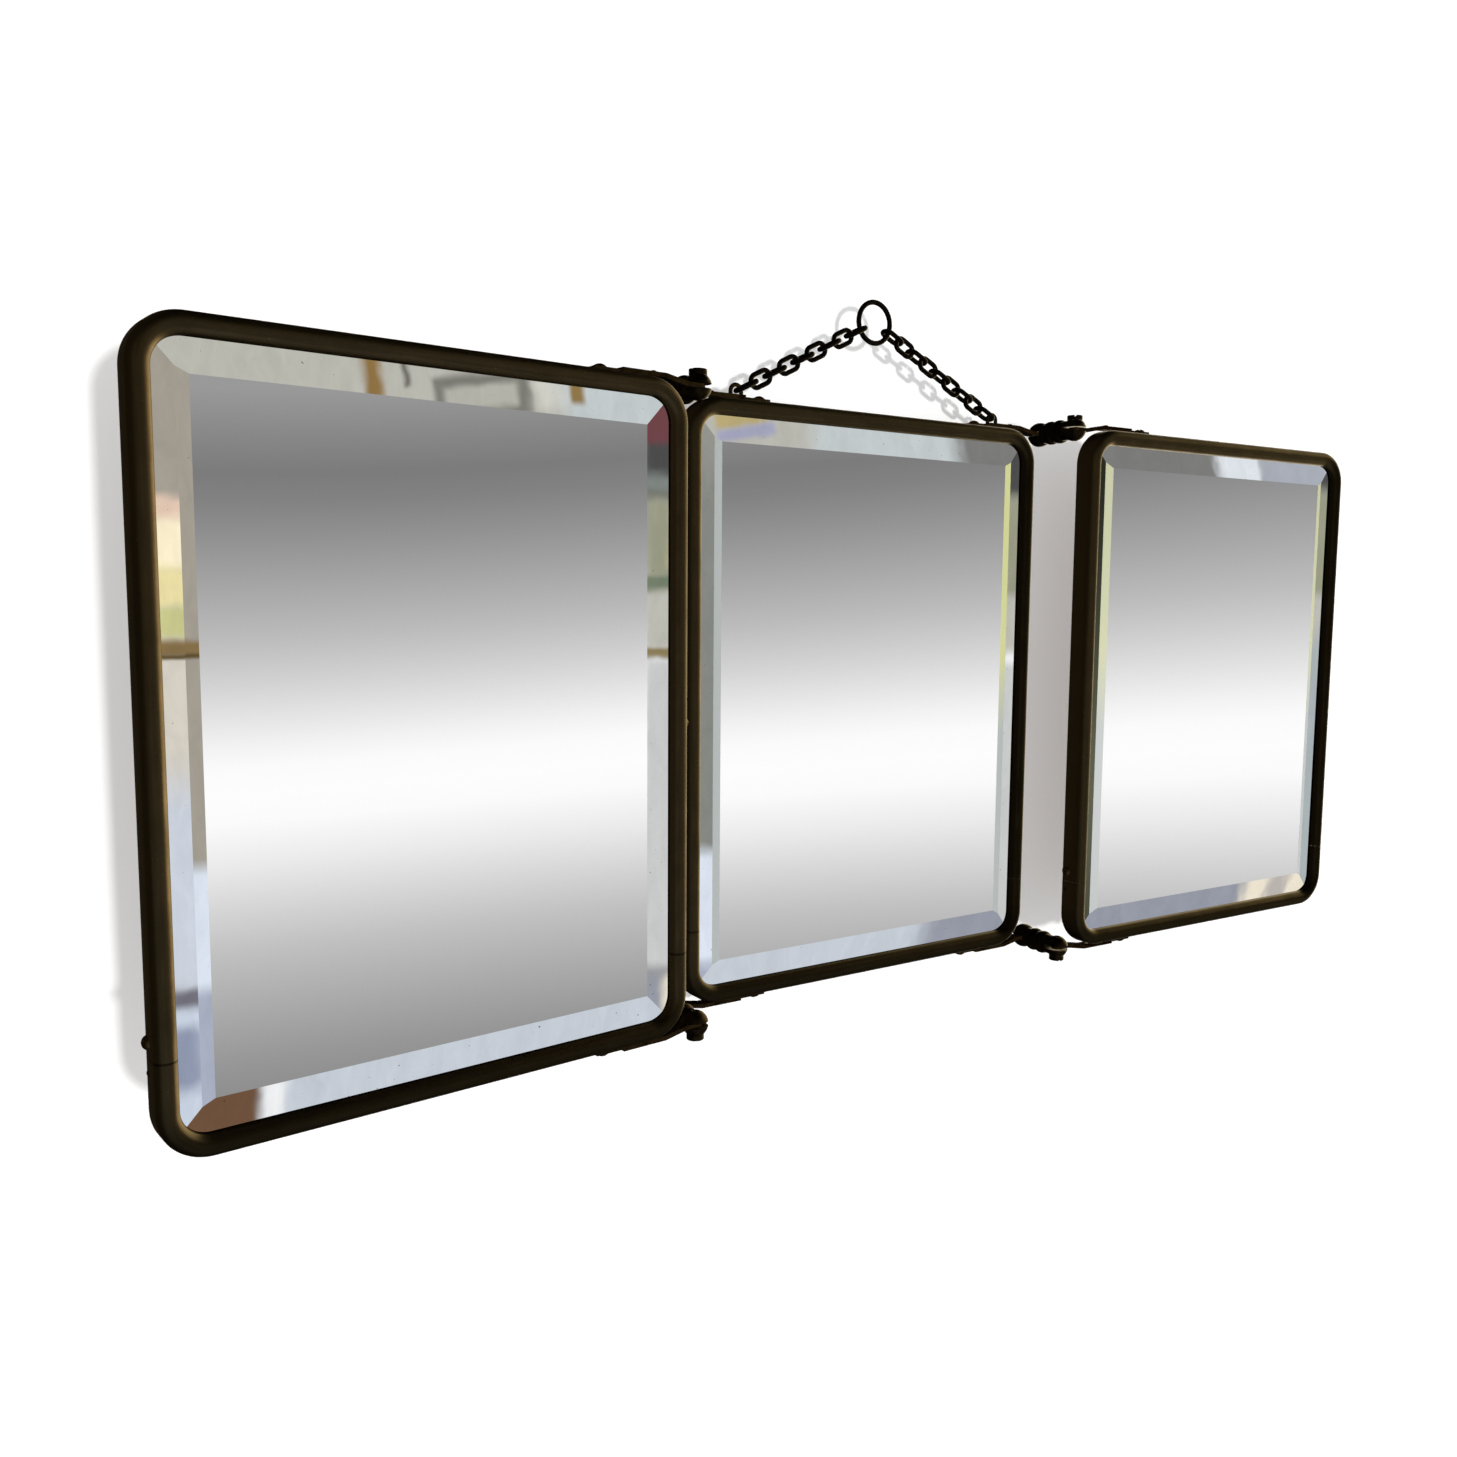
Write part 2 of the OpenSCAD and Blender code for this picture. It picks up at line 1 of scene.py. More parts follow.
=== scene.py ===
# %% [markdown]
# # A folding wall mirror of three panels
# The real object is a barber's or dressing mirror: three bevelled glasses in narrow brass mouldings, joined by
# double-pivot links, with a ring and two short chains to hang it from one nail. The measured model is loaded first
# and stays fixed, because every piece made here has to sit on it. Its box is kept, so that the end of the lesson
# can show that nothing grew.

# %% Load the measured frame
import json
import math
import bmesh
import bpy
from mathutils import Euler, Matrix, Vector

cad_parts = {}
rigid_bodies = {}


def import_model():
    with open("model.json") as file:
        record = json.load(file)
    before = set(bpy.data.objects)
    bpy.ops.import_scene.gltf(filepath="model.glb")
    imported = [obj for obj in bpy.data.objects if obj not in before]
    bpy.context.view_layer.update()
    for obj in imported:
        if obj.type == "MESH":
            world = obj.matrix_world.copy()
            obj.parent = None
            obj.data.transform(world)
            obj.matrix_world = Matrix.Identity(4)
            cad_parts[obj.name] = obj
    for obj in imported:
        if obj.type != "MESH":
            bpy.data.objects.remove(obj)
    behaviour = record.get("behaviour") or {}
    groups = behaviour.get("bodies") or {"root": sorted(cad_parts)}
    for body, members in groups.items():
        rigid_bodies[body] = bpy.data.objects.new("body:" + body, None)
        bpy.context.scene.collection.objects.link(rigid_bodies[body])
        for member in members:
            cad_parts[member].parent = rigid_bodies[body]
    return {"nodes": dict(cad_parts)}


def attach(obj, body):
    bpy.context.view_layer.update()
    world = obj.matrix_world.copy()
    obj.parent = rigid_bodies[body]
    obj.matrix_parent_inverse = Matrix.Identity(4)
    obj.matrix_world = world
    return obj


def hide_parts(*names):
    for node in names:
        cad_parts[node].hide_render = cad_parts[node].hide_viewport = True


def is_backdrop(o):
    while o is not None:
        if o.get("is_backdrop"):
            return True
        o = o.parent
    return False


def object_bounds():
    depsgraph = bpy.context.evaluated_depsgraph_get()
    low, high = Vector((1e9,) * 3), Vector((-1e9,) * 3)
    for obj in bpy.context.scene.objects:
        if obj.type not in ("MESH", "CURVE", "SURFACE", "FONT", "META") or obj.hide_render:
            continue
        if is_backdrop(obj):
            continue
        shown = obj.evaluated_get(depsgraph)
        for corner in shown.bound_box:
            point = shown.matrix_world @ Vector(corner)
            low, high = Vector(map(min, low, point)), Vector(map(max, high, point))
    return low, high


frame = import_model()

cad_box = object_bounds()

# %% [markdown]
# Colours are easiest to choose as sRGB hex values, but shaders work in linear light, so one function turns them.
# Pattern sizes are thought of in millimetres, while a texture wants repeats per metre, so a second function turns
# those. A third adds a node to any tree: its own fields first, then its inputs, each a plain value or a socket. Two
# kinds of node come so often that they have a short form: a sum, and one colour passing into another. The last three
# do the small chores that come back at every step: filling a colour ramp, starting a material with an empty tree,
# and putting an object in the scene.

# %% Helpers for colours, sizes, nodes and objects
MM = 0.001


def linear(hex_colour, alpha=1.0):
    """An sRGB hex colour as linear red, green, blue and alpha."""
    parts = [int(hex_colour[i:i + 2], 16) / 255 for i in (1, 3, 5)]
    return [p / 12.92 if p <= 0.04045 else ((p + 0.055) / 1.055) ** 2.4 for p in parts] + [alpha]


def per_metre(size_mm):
    """How often a pattern of this size in millimetres repeats in a metre."""
    return 1000 / size_mm


def add_node(tree, kind, settings=(), inputs=()):
    """Add a node with its settings; inputs are values or sockets, by the input's name or number."""
    node = tree.nodes.new(kind)
    for name, value in dict(settings).items():
        setattr(node, name, value)
    for key, value in dict(inputs).items():
        if isinstance(value, bpy.types.NodeSocket):
            tree.links.new(value, node.inputs[key])
        else:
            node.inputs[key].default_value = value
    return node


def calc(tree, operation, *values):
    """The result of one sum on these values or sockets."""
    return add_node(tree, "ShaderNodeMath", {"operation": operation}, dict(enumerate(values))).outputs[0]


def blend(tree, share, one, other, mode="MIX"):
    """One colour passing into the other as the share goes from 0 to 1."""
    return add_node(tree, "ShaderNodeMix", {"data_type": "RGBA", "blend_type": mode},
                    {0: share, 6: one, 7: other}).outputs[2]


def fill_ramp(ramp, stops):
    """Give a colour ramp node these stops, each a position and a linear colour."""
    elements = ramp.color_ramp.elements
    while len(elements) < len(stops):
        elements.new(0.5)
    for element, (position, colour) in zip(elements, stops):
        element.position = position
        element.color = colour
    return ramp


def new_material(name):
    """A material, its empty tree, and the Object coordinates that every pattern here is drawn in."""
    material = bpy.data.materials.new(name)
    material.use_nodes = True
    tree = material.node_tree
    tree.nodes.clear()
    return material, tree, add_node(tree, "ShaderNodeTexCoord").outputs["Object"]


def new_object(name, data):
    """An object in the scene that holds this mesh, lamp or camera."""
    made = bpy.data.objects.new(name, data)
    bpy.context.scene.collection.objects.link(made)
    return made


print("a mid grey is", round(linear("#808080")[0], 3), "in linear light")

# %% [markdown]
# The camera stands in front of the left wing and looks to the right along the mirror, a little downwards. Its place
# was worked out from the straight edges of the frames, so all three mouldings run to their true vanishing points.

# %% The camera
IMAGE_PX = 1457
SENSOR_MM = 36.0
FOCAL_PX = 1261.1
YAW, PITCH, ROLL = 0.5842, -0.1043, 0.0069      # radians
CAMERA_AT = (-465.24 * MM, -566.52 * MM, 57.72 * MM)

camera_data = bpy.data.cameras.new("photo_camera")
camera_data.sensor_width = SENSOR_MM
camera_data.lens = FOCAL_PX * SENSOR_MM / IMAGE_PX
camera_data.clip_start = 0.01
camera = new_object("photo_camera", camera_data)
look = Vector((math.sin(YAW) * math.cos(PITCH), math.cos(YAW) * math.cos(PITCH), math.sin(PITCH)))
right = Vector((math.cos(YAW), -math.sin(YAW), 0))
up = right.cross(look)
turned_right = math.cos(ROLL) * right + math.sin(ROLL) * up
turned_up = math.cos(ROLL) * up - math.sin(ROLL) * right
place = Matrix((turned_right, turned_up, -look)).transposed().to_4x4()
place.translation = CAMERA_AT
camera.matrix_world = place
bpy.context.scene.camera = camera
bpy.context.scene.view_settings.view_transform = "Standard"
print("lens", round(camera_data.lens, 2), "mm")

# %% [markdown]
# A mirror looks like whatever stands around it, so the room matters more here than the lamps. The camera sees plain
# white. The metal and the glass see a studio backdrop that runs from mid grey at eye level to white lower down, and
# outside the backdrop's edges the room beyond it: a pale wall with two posts above, a pale floor below, and a
# garden window to either side. Only the bevels, which are tilted, look past the backdrop's edges. Each thing in
# the room is one soft-edged patch, given by its bearing and height in degrees. A later patch covers an earlier one,
# so walls come first and the small things on them last. A faint mottle over the patches keeps them from looking cut
# out of paper.

# %% The room that the mirrors see
# Height on the backdrop, and how bright it shows there, from 0, black, to 1, white.
BACKDROP = [(-0.40, 0.46), (-0.32, 0.592), (-0.245, 0.757), (-0.185, 0.925), (-0.155, 0.99), (-0.135, 1.0),
            (-0.115, 0.99), (-0.098, 0.953), (-0.053, 0.824), (-0.02, 0.735), (0.05, 0.576), (0.08, 0.51),
            (0.10, 0.484), (0.123, 0.525), (0.16, 0.6)]
DISPLAY_GAMMA = 2.2
BAND_BOW, BAND_TILT = -0.18, 0.105      # how the backdrop's bands bend and rise towards its sides
FOLDS = (1.6, 0.55, 1.0)                # streaks of the mottle per degree of bearing and of height
MOTTLE_DEPTH = 0.3                      # share of the light that the mottle takes and gives
# Name: colour, bearings from and to, heights from and to, softness in degrees (two where the upright and the level
# edges differ), and how much brighter than white paper it is where that isn't 1. Bearing 0 is straight in front of
# the mirror, and 90 is to its right.
ROOM = {
    "wall above": ("#bab9b0", 0, 40, 11, 36, 0.5),
    "pale wall above": ("#cfcfc6", 37.8, 40.4, 19.9, 36, 0.8),
    "wall above, far side": ("#c3cacb", 39, 46, 11, 36, 1.5),
    "grey door frame": ("#7c7c7a", 45.5, 52.5, 10, 60, 1.0),
    "bright fanlight": ("#dde3e8", 52.2, 53.9, 11, 30, 0.6),
    "hazy sky": ("#a9aeb8", 53.9, 62, 11, 40, 0.6),
    "lit cloud": ("#c9ced3", 56.4, 57.8, 11, 40, 0.8),
    "copper lantern": ("#d9b58a", 55.7, 56.4, 14.5, 19, 0.5),
    "white jamb": ("#f0f3f5", 57.9, 62, 11, 40, 0.5),
    "near post": ("#8f7345", 30.2, 30.9, 10, 40, 0.5),
    "thin rod": ("#6d6a62", 31.9, 32.15, 21.3, 40, 0.3),
    "picture frame": ("#7c7b74", 33.2, 37.5, 19.75, 21.7, 0.5),
    "picture": ("#b4b3a9", 33.7, 37.0, 20.2, 21.2, 0.5),
    "far post": ("#8d7548", 39.4, 40.0, 20.0, 40, 0.4),
    "gilt cornice": ("#b8a878", 34.6, 37.2, 18.9, 19.7, 0.5),
    "cornice shadow": ("#a3a5bd", 34.6, 37.4, 18.3, 18.9, 0.4),
    "floor below": ("#c6cdd6", 0, 60, -90, -21.5, 1.2),
    "glare, low": ("#a9b0c2", 10.5, 19.4, -23, -15.8, 0.8),
    "brown chest": ("#6e523d", 10, 26.0, -38, -30, 0.9),
    "white door": ("#eef0f2", 26.0, 27.2, -38, -30, 0.6),
    "grey rug": ("#969aa6", 46.0, 56.0, -60, -17, 1.6),
    "sunlit floor": ("#efe6d2", 55.4, 64, -60, -17, 0.7),
    "chair's shadow": ("#b9b4ae", 56.3, 57.0, -60, -17, 0.5),
    "left wall": ("#868883", -60, 19.4, -13, 60, 0.3),
    "left wall, high": ("#a5a59b", 10, 19.4, 7.5, 60, (0.3, 10.0)),
    "left wall, beside the window": ("#a39d92", -60, 15.5, -13, 60, 1.0),
    "blue-white glare": ("#dbe4f0", 8, 19.4, -16.5, -11.5, 0.8),
    "left window": ("#d5cfc4", -9, 10.5, -9, 1.0, 1.2),
    "left window, low": ("#ccd3de", -9, 10.5, -17, -8, 3.0),
    "curtain edge": ("#b59f9a", 1.0, 3.4, 3.6, 16, 1.4),
    "sunlit blind": ("#fdf1cf", -9, 9.5, 0.9, 3.6, 0.6),
    "blind, lower": ("#ebdfa6", -9, 9.5, -0.7, 1.1, 0.8),
    "blind, lowest": ("#c9c98e", -9, 9.5, -1.9, -0.6, 0.6),
    "blind, pale fold": ("#e3dcc2", 2.0, 3.6, -1.8, 3.4, 1.2),
    "blind, yellow fold": ("#efdc98", 6.2, 7.2, -1.8, 2.4, 0.8),
    "pink hem": ("#e4c8b4", -9, 9.5, 3.1, 3.9, 0.7),
    "window rail": ("#86704a", -9, 16.0, -2.6, -1.95, 0.4),
    "rail edge": ("#5d4d2c", -9, 16.0, -2.7, -2.5, 0.2),
    "dark arch": ("#73727c", -9, 10.5, -17.3, -16.4, 0.5),
    "left floor": ("#c9d3e2", -60, 10.5, -60, -17.2, 0.6),
    "crumpled sheet": ("#8e97ad", 2.5, 5.0, -20.4, -18.0, 0.9),
    "crumpled sheet, lit": ("#f2f6fb", 5.5, 8.4, -22.0, -18.6, 0.9),
    "crumpled sheet, fold": ("#a08c84", 7.2, 8.0, -19.4, -17.6, 0.5),
    "right wall": ("#4d4d4d", 54.5, 110, 4.3, 10.8, 0.8),
    "red curtain": ("#70454a", 54.5, 58.0, 6.7, 10.8, 0.5),
    "lamp in the dark": ("#7f8682", 54.5, 56.0, 4.6, 5.4, 0.7),
    "garden": ("#9b9c86", 54.5, 75, 0.0, 4.4, 1.0),
    "garden wall": ("#b3aa8e", 55.6, 56.5, 1.2, 4.0, 0.5),
    "garden flowers": ("#b89a92", 56.6, 57.4, 0.6, 2.6, 0.5),
    "garden hedge": ("#74806c", 54.5, 56.0, 0.3, 0.9, 0.4),
    "pale paving": ("#bdbcb3", 54.5, 75, -2.4, 0.1, 0.7),
    "sill": ("#8b7d58", 54.5, 62, -2.85, -2.3, 0.3),
    "right floor": ("#c9cbca", 54.5, 66, -16.6, -2.85, 0.6),
    "right floor, far": ("#aab3b5", 64, 76, -16.6, -1.5, 2.0),
    "sunlit hall": ("#fff4e2", 63, 134, 13, 34, 4.0, 4.0),
    "warm window": ("#fff4e2", 76, 134, -24, 18, 5.0, 4.0),
    "dark ceiling": ("#2b2925", -180, 190, 34, 90, 12.0),
    "dark room, left": ("#58524a", -180, -48, -90, 90, 10.0),
    "dark room, right": ("#14110d", 138, 190, -90, 90, 8.0),
}
CAMERA_WHITE = linear("#ffffff")
ROOM_LIGHT = linear("#cbcbcb")      # what matt surfaces receive from all round

world = bpy.data.worlds.new("room")
bpy.context.scene.world = world
world.use_nodes = True
sky = world.node_tree
sky.nodes.clear()
direction = add_node(sky, "ShaderNodeTexCoord").outputs["Generated"]
axis = add_node(sky, "ShaderNodeSeparateXYZ", (), {0: direction}).outputs
minus_y = calc(sky, "MULTIPLY", axis["Y"], -1.0)
turn = calc(sky, "ARCTAN2", axis["X"], minus_y)
bearing = calc(sky, "DEGREES", turn)
rise = calc(sky, "ARCSINE", axis["Z"])
height = calc(sky, "DEGREES", rise)

sideways = calc(sky, "ABSOLUTE", axis["X"])
bow = calc(sky, "MULTIPLY_ADD", sideways, BAND_BOW, BAND_TILT)
level = calc(sky, "MULTIPLY_ADD", sideways, bow, axis["Z"])
low, high = BACKDROP[0][0], BACKDROP[-1][0]
spread = add_node(sky, "ShaderNodeMapRange", (), {"Value": level, "From Min": low, "From Max": high}).outputs[0]
ramp = fill_ramp(add_node(sky, "ShaderNodeValToRGB", (), {"Fac": spread}), [
    ((value - low) / (high - low), (bright, bright, bright, 1)) for value, bright in BACKDROP])
light = calc(sky, "POWER", ramp.outputs["Color"], DISPLAY_GAMMA)
seen = add_node(sky, "ShaderNodeCombineColor", (), {0: light, 1: light, 2: light}).outputs[0]

plain = seen
for colour, b0, b1, h0, h1, soft, *brighter in ROOM.values():
    power = brighter[0] if brighter else 1.0
    across, upright = soft if isinstance(soft, tuple) else (soft, soft)
    glow = [channel * power for channel in linear(colour)[:3]] + [1.0]
    edges = []
    for value, start, end, blur in ((bearing, b0, b1, across), (height, h0, h1, upright)):
        for bound, sign in ((start, 1), (end, -1)):
            edges.append(add_node(sky, "ShaderNodeMapRange", {"interpolation_type": "SMOOTHSTEP"}, {
                "Value": value, "From Min": bound - sign * blur / 2, "From Max": bound + sign * blur / 2,
            }).outputs[0])
    cover = edges[0]
    for edge in edges[1:]:
        cover = calc(sky, "MULTIPLY", cover, edge)
    seen = blend(sky, cover, seen, glow)

# Nothing out in the room is one even shade, so it gets upright streaks and patches; the backdrop stays plain.
spot = add_node(sky, "ShaderNodeCombineXYZ", (), {0: bearing, 1: height}).outputs[0]
folds = add_node(sky, "ShaderNodeVectorMath", {"operation": "MULTIPLY"}, {0: spot, 1: FOLDS}).outputs[0]
mottle = add_node(sky, "ShaderNodeTexNoise", (), {
    "Vector": folds, "Scale": 1.0, "Detail": 4.0, "Roughness": 0.6, "Distortion": 0.6}).outputs["Fac"]
shade = calc(sky, "MULTIPLY_ADD", mottle, MOTTLE_DEPTH, 1 - MOTTLE_DEPTH / 2)
uneven = add_node(sky, "ShaderNodeVectorMath", {"operation": "SCALE"}, {0: seen, "Scale": shade}).outputs[0]
changed = add_node(sky, "ShaderNodeVectorMath", {"operation": "DISTANCE"}, {0: seen, 1: plain}).outputs["Value"]
in_room = add_node(sky, "ShaderNodeMapRange", (), {"Value": changed, "From Max": 0.02}).outputs[0]
seen = blend(sky, in_room, seen, uneven)

path = add_node(sky, "ShaderNodeLightPath").outputs
reflected = calc(sky, "MAXIMUM", path["Is Glossy Ray"], path["Is Transmission Ray"])
around = blend(sky, reflected, ROOM_LIGHT, seen)
shown = blend(sky, path["Is Camera Ray"], around, CAMERA_WHITE)
background = add_node(sky, "ShaderNodeBackground", (), {"Color": shown, "Strength": 1.0})
add_node(sky, "ShaderNodeOutputWorld", (), {0: background.outputs[0]})
print("patches in the room:", len(ROOM))

# %% [markdown]
# Behind the mirror is a white wall that takes its soft shadow, and below it a pale floor. Both stand a little off
# the object and are hidden from the mirrors and from the light, so that they change nothing on the object itself.
# The wall is white by its colour and by a little glow that only the camera sees, and it can be looked through
# from behind, so that the back of the mirror can be studied too. One broad lamp shines straight at the wall.

# %% Wall, floor and lamp
WALL_GAP = 12 * MM
FLOOR_Z, WALL_TOP, REACH = -1.4, 2.2, 3      # metres


def stage_plane(name, corners, glow):
    """A big white plane that only the camera and the shadow of the object notice."""
    mesh = bpy.data.meshes.new(name)
    mesh.from_pydata(corners, [], [(0, 1, 2, 3)])
    plane = new_object(name, mesh)
    paint, tree, coords = new_material(name + "_white_paint")
    grain = add_node(tree, "ShaderNodeTexNoise", (), {"Vector": coords, "Scale": per_metre(40)}).outputs["Fac"]
    tint = blend(tree, grain, linear("#e4e4e3"), linear("#e6e6e6"))
    matt = add_node(tree, "ShaderNodeBsdfDiffuse", (), {"Color": tint}).outputs[0]
    camera_ray = add_node(tree, "ShaderNodeLightPath").outputs["Is Camera Ray"]
    shine = calc(tree, "MULTIPLY", camera_ray, glow)
    emit = add_node(tree, "ShaderNodeEmission", (), {"Color": linear("#ffffff"), "Strength": shine}).outputs[0]
    front = add_node(tree, "ShaderNodeAddShader", (), {0: matt, 1: emit}).outputs[0]
    clear = add_node(tree, "ShaderNodeBsdfTransparent").outputs[0]
    behind = add_node(tree, "ShaderNodeNewGeometry").outputs["Backfacing"]
    shader = add_node(tree, "ShaderNodeMixShader", (), {0: behind, 1: front, 2: clear}).outputs[0]
    add_node(tree, "ShaderNodeOutputMaterial", (), {0: shader})
    mesh.materials.append(paint)
    plane.visible_diffuse = plane.visible_glossy = plane.visible_transmission = plane.visible_shadow = False
    plane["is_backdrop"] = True


stage_plane("wall", [(-REACH, WALL_GAP, FLOOR_Z), (REACH, WALL_GAP, FLOOR_Z), (REACH, WALL_GAP, WALL_TOP),
                     (-REACH, WALL_GAP, WALL_TOP)], 0.30)
stage_plane("floor", [(-REACH, -REACH, FLOOR_Z), (REACH, -REACH, FLOOR_Z), (REACH, REACH, FLOOR_Z),
                      (-REACH, REACH, FLOOR_Z)], 0.35)

lamp_data = bpy.data.lights.new("broad_lamp", "SUN")
lamp_data.energy = 1.75
lamp_data.angle = math.radians(4.5)      # its breadth, which blurs the shadow's edge
lamp = new_object("broad_lamp", lamp_data)
lamp.rotation_euler = Euler((math.radians(90), 0, math.radians(0.5)))
lamp.visible_glossy = False
print("lamp strength", lamp_data.energy)

# %% [markdown]
# Three panels share one shape, so their sizes are written once and every piece is drawn flat, in the panel's own
# frame: x to the right, y into the wall, z up, with the middle of the back at the origin. A matrix for each panel
# then puts the finished points where the hinges hold the real panel.

# %% Sizes of a panel and the places of the three
PANEL_W, PANEL_H = 250 * MM, 320 * MM
FACE_W, FRAME_DEPTH = 9 * MM, 15 * MM
CORNER_R = 21 * MM
WALL_T, FLANGE_T, FLANGE_REACH = 1.6 * MM, 1.4 * MM, 7 * MM
SEAM_Z, SEAM_GAP = -118.5 * MM, 0.05 * MM
HINGE_X, MID_Y, HINGE_Z = 134.4 * MM, -7.5 * MM, 158.6 * MM
LINK_LENGTH = 30 * MM
LINK_ANGLES = {"left": 89.7, "right": 95.0}      # degrees from straight outward, towards the front
WING_ANGLES = {"left": 5.5, "right": 2.0}        # degrees that a wing's outer edge is turned to the front


def pivot(side, link_angle):
    """Where the wing's own hinge stands: side is -1 for the left wing and 1 for the right one."""
    a = math.radians(link_angle)
    return Vector((side * (HINGE_X + LINK_LENGTH * math.cos(a)), MID_Y - LINK_LENGTH * math.sin(a), 0))


def wing_place(name, side):
    """The matrix that puts a wing where its link and its own hinge hold it."""
    hinge = Matrix.Translation(pivot(side, LINK_ANGLES[name]))
    turned = Matrix.Rotation(math.radians(-side * WING_ANGLES[name]), 4, "Z")
    return hinge @ turned @ Matrix.Translation((side * HINGE_X, -MID_Y, 0))


PANELS = {
    "centre": (Matrix.Identity(4), "centre_panel"),
    "left": (wing_place("left", -1), "left_wing"),
    "right": (wing_place("right", 1), "right_wing"),
}
for panel, (place, body) in PANELS.items():
    print(panel, "rides on", body, "at", [round(v * 1000, 1) for v in place.translation])

# %% [markdown]
# A finished mesh becomes a piece by the same few lines each time: an object at the origin, its material, the body
# that carries it, and the measured nodes that it stands for. Where a mesh is made by
# modifiers or by a node tree, its final shape is taken from the evaluated object and kept as a plain mesh. The
# glasses in the photo show the room but nothing of the mirror's own dark frames, so every piece is kept out of
# reflections.

# %% From a mesh to a piece
def as_piece(name, mesh, body, material, nodes=()):
    """Show the mesh as a piece that rides on a body and stands for these nodes."""
    mesh.name = name
    mesh.materials.clear()
    mesh.materials.append(material)
    piece = new_object(name, mesh)
    piece.visible_glossy = False
    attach(piece, body)
    if nodes:
        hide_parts(*nodes)
    return piece


def final_mesh(maker):
    """The evaluated mesh of an object, kept as a plain mesh; the object itself is removed."""
    bpy.context.view_layer.update()
    graph = bpy.context.evaluated_depsgraph_get()
    mesh = bpy.data.meshes.new_from_object(maker.evaluated_get(graph), depsgraph=graph)
    bpy.data.objects.remove(maker)
    return mesh


def mesh_from(shell, name):
    """The faces of a bmesh as a new mesh; the bmesh itself is freed."""
    mesh = bpy.data.meshes.new(name)
    shell.to_mesh(mesh)
    shell.free()
    return mesh


def close_up(mesh, smooth_angle):
    """Merge doubles, turn the faces outwards and smooth all but the sharp edges."""
    shell = bmesh.new()
    shell.from_mesh(mesh)
    bmesh.ops.remove_doubles(shell, verts=shell.verts, dist=0.002 * MM)
    bmesh.ops.recalc_face_normals(shell, faces=shell.faces)
    shell.to_mesh(mesh)
    shell.free()
    mesh.shade_smooth()
    mesh.set_sharp_from_angle(angle=math.radians(smooth_angle))
    return mesh


def helper_object(name, points, lines=(), faces=()):
    """A plain mesh object that a node tree starts from; it is never shown."""
    mesh = bpy.data.meshes.new(name)
    mesh.from_pydata([tuple(p) for p in points], lines, faces)
    helper = new_object(name, mesh)
    helper.hide_render = True
    return helper


# %% [markdown]
# ## Metals
# All the metal is old brass or bronze, except the wire. Brass that is never polished grows a brown to black oxide
# skin over warm yellow metal, so the colour is a slow mottle between two dark browns, with small bright spots where
# a knock has opened the skin, and the roughness follows the same mottle. A metal's colour is its mirror colour, so
# metallic stays 1 and the reflection does the rest. The mottle is 5 to 12 mm, the spots about a millimetre. Spots
# of another shade also come back on the mouldings and on the wood, so they have their own function.

# %% A recipe for tarnished metal
EDGE_TINT = (0.6, 0.58, 0.52, 1.0)     # oxide skin stays dark at a grazing angle, where clean metal turns white


def with_spots(tree, colour, coords, size_mm, shade, low, high, detail=3.0, roughness=0.7, most=1.0):
    """The colour with spots of another shade, where noise of this size rises from low to high."""
    noise = add_node(tree, "ShaderNodeTexNoise", (), {
        "Vector": coords, "Scale": per_metre(size_mm), "Detail": detail, "Roughness": roughness}).outputs["Fac"]
    cover = add_node(tree, "ShaderNodeMapRange", (), {
        "Value": noise, "From Min": low, "From Max": high, "To Max": most}).outputs[0]
    return blend(tree, cover, colour, linear(shade))


def metal_finish(name, dark, light, worn, roughness, mottle_mm, spot_mm, spots, grain_mm, grain_depth,
                 edge=EDGE_TINT):
    """Oxide skin between two browns; spots runs from 0, none, to 1, worn all over; edge tints its grazing light."""
    material, tree, coords = new_material(name)
    mottle = add_node(tree, "ShaderNodeTexNoise", (), {
        "Vector": coords, "Scale": per_metre(mottle_mm), "Detail": 5.0, "Roughness": 0.6}).outputs["Fac"]
    skin = add_node(tree, "ShaderNodeMapRange", (), {
        "Value": mottle, "From Min": 0.35, "From Max": 0.65}).outputs[0]
    colour = blend(tree, skin, linear(dark), linear(light))
    colour = with_spots(tree, colour, coords, spot_mm, worn, 0.78 - 0.3 * spots, 0.86 - 0.3 * spots)
    rough = add_node(tree, "ShaderNodeMapRange", (), {
        "Value": mottle, "From Min": 0.3, "From Max": 0.7,
        "To Min": roughness[0], "To Max": roughness[1]}).outputs[0]
    grain = add_node(tree, "ShaderNodeTexNoise", (), {
        "Vector": coords, "Scale": per_metre(grain_mm), "Detail": 4.0, "Roughness": 0.65}).outputs["Fac"]
    relief = add_node(tree, "ShaderNodeBump", (), {
        "Height": grain, "Strength": 1.0, "Distance": grain_depth * MM}).outputs[0]
    shader = add_node(tree, "ShaderNodeBsdfPrincipled", (), {
        "Base Color": colour, "Metallic": 1.0, "Roughness": rough, "Specular Tint": edge,
        "Normal": relief}).outputs[0]
    add_node(tree, "ShaderNodeOutputMaterial", (), {0: shader})
    return material


# Forged strap brass: dark brown, rough from the hammer.
strap_brass = metal_finish("tarnished_forged_brass", "#20180c", "#3f3320", "#8c6f45",
                           (0.38, 0.6), 9, 1.6, 0.25, 2.2, 0.12, (0.12, 0.1, 0.07, 1.0))
# Turned and cast bronze: the balls and beads are near black and smoother, so they carry small highlights.
link_bronze = metal_finish("blackened_turned_bronze", "#120e08", "#2a2114", "#7a5a35",
                           (0.28, 0.42), 12, 1.2, 0.12, 1.4, 0.03)
# Screw brass: the same tarnish, rubbed by the driver and by hands, so browner and brighter on top.
screw_brass = metal_finish("rubbed_screw_brass", "#2a2013", "#54442a", "#a98a55",
                           (0.3, 0.45), 5, 0.9, 0.3, 0.9, 0.03)
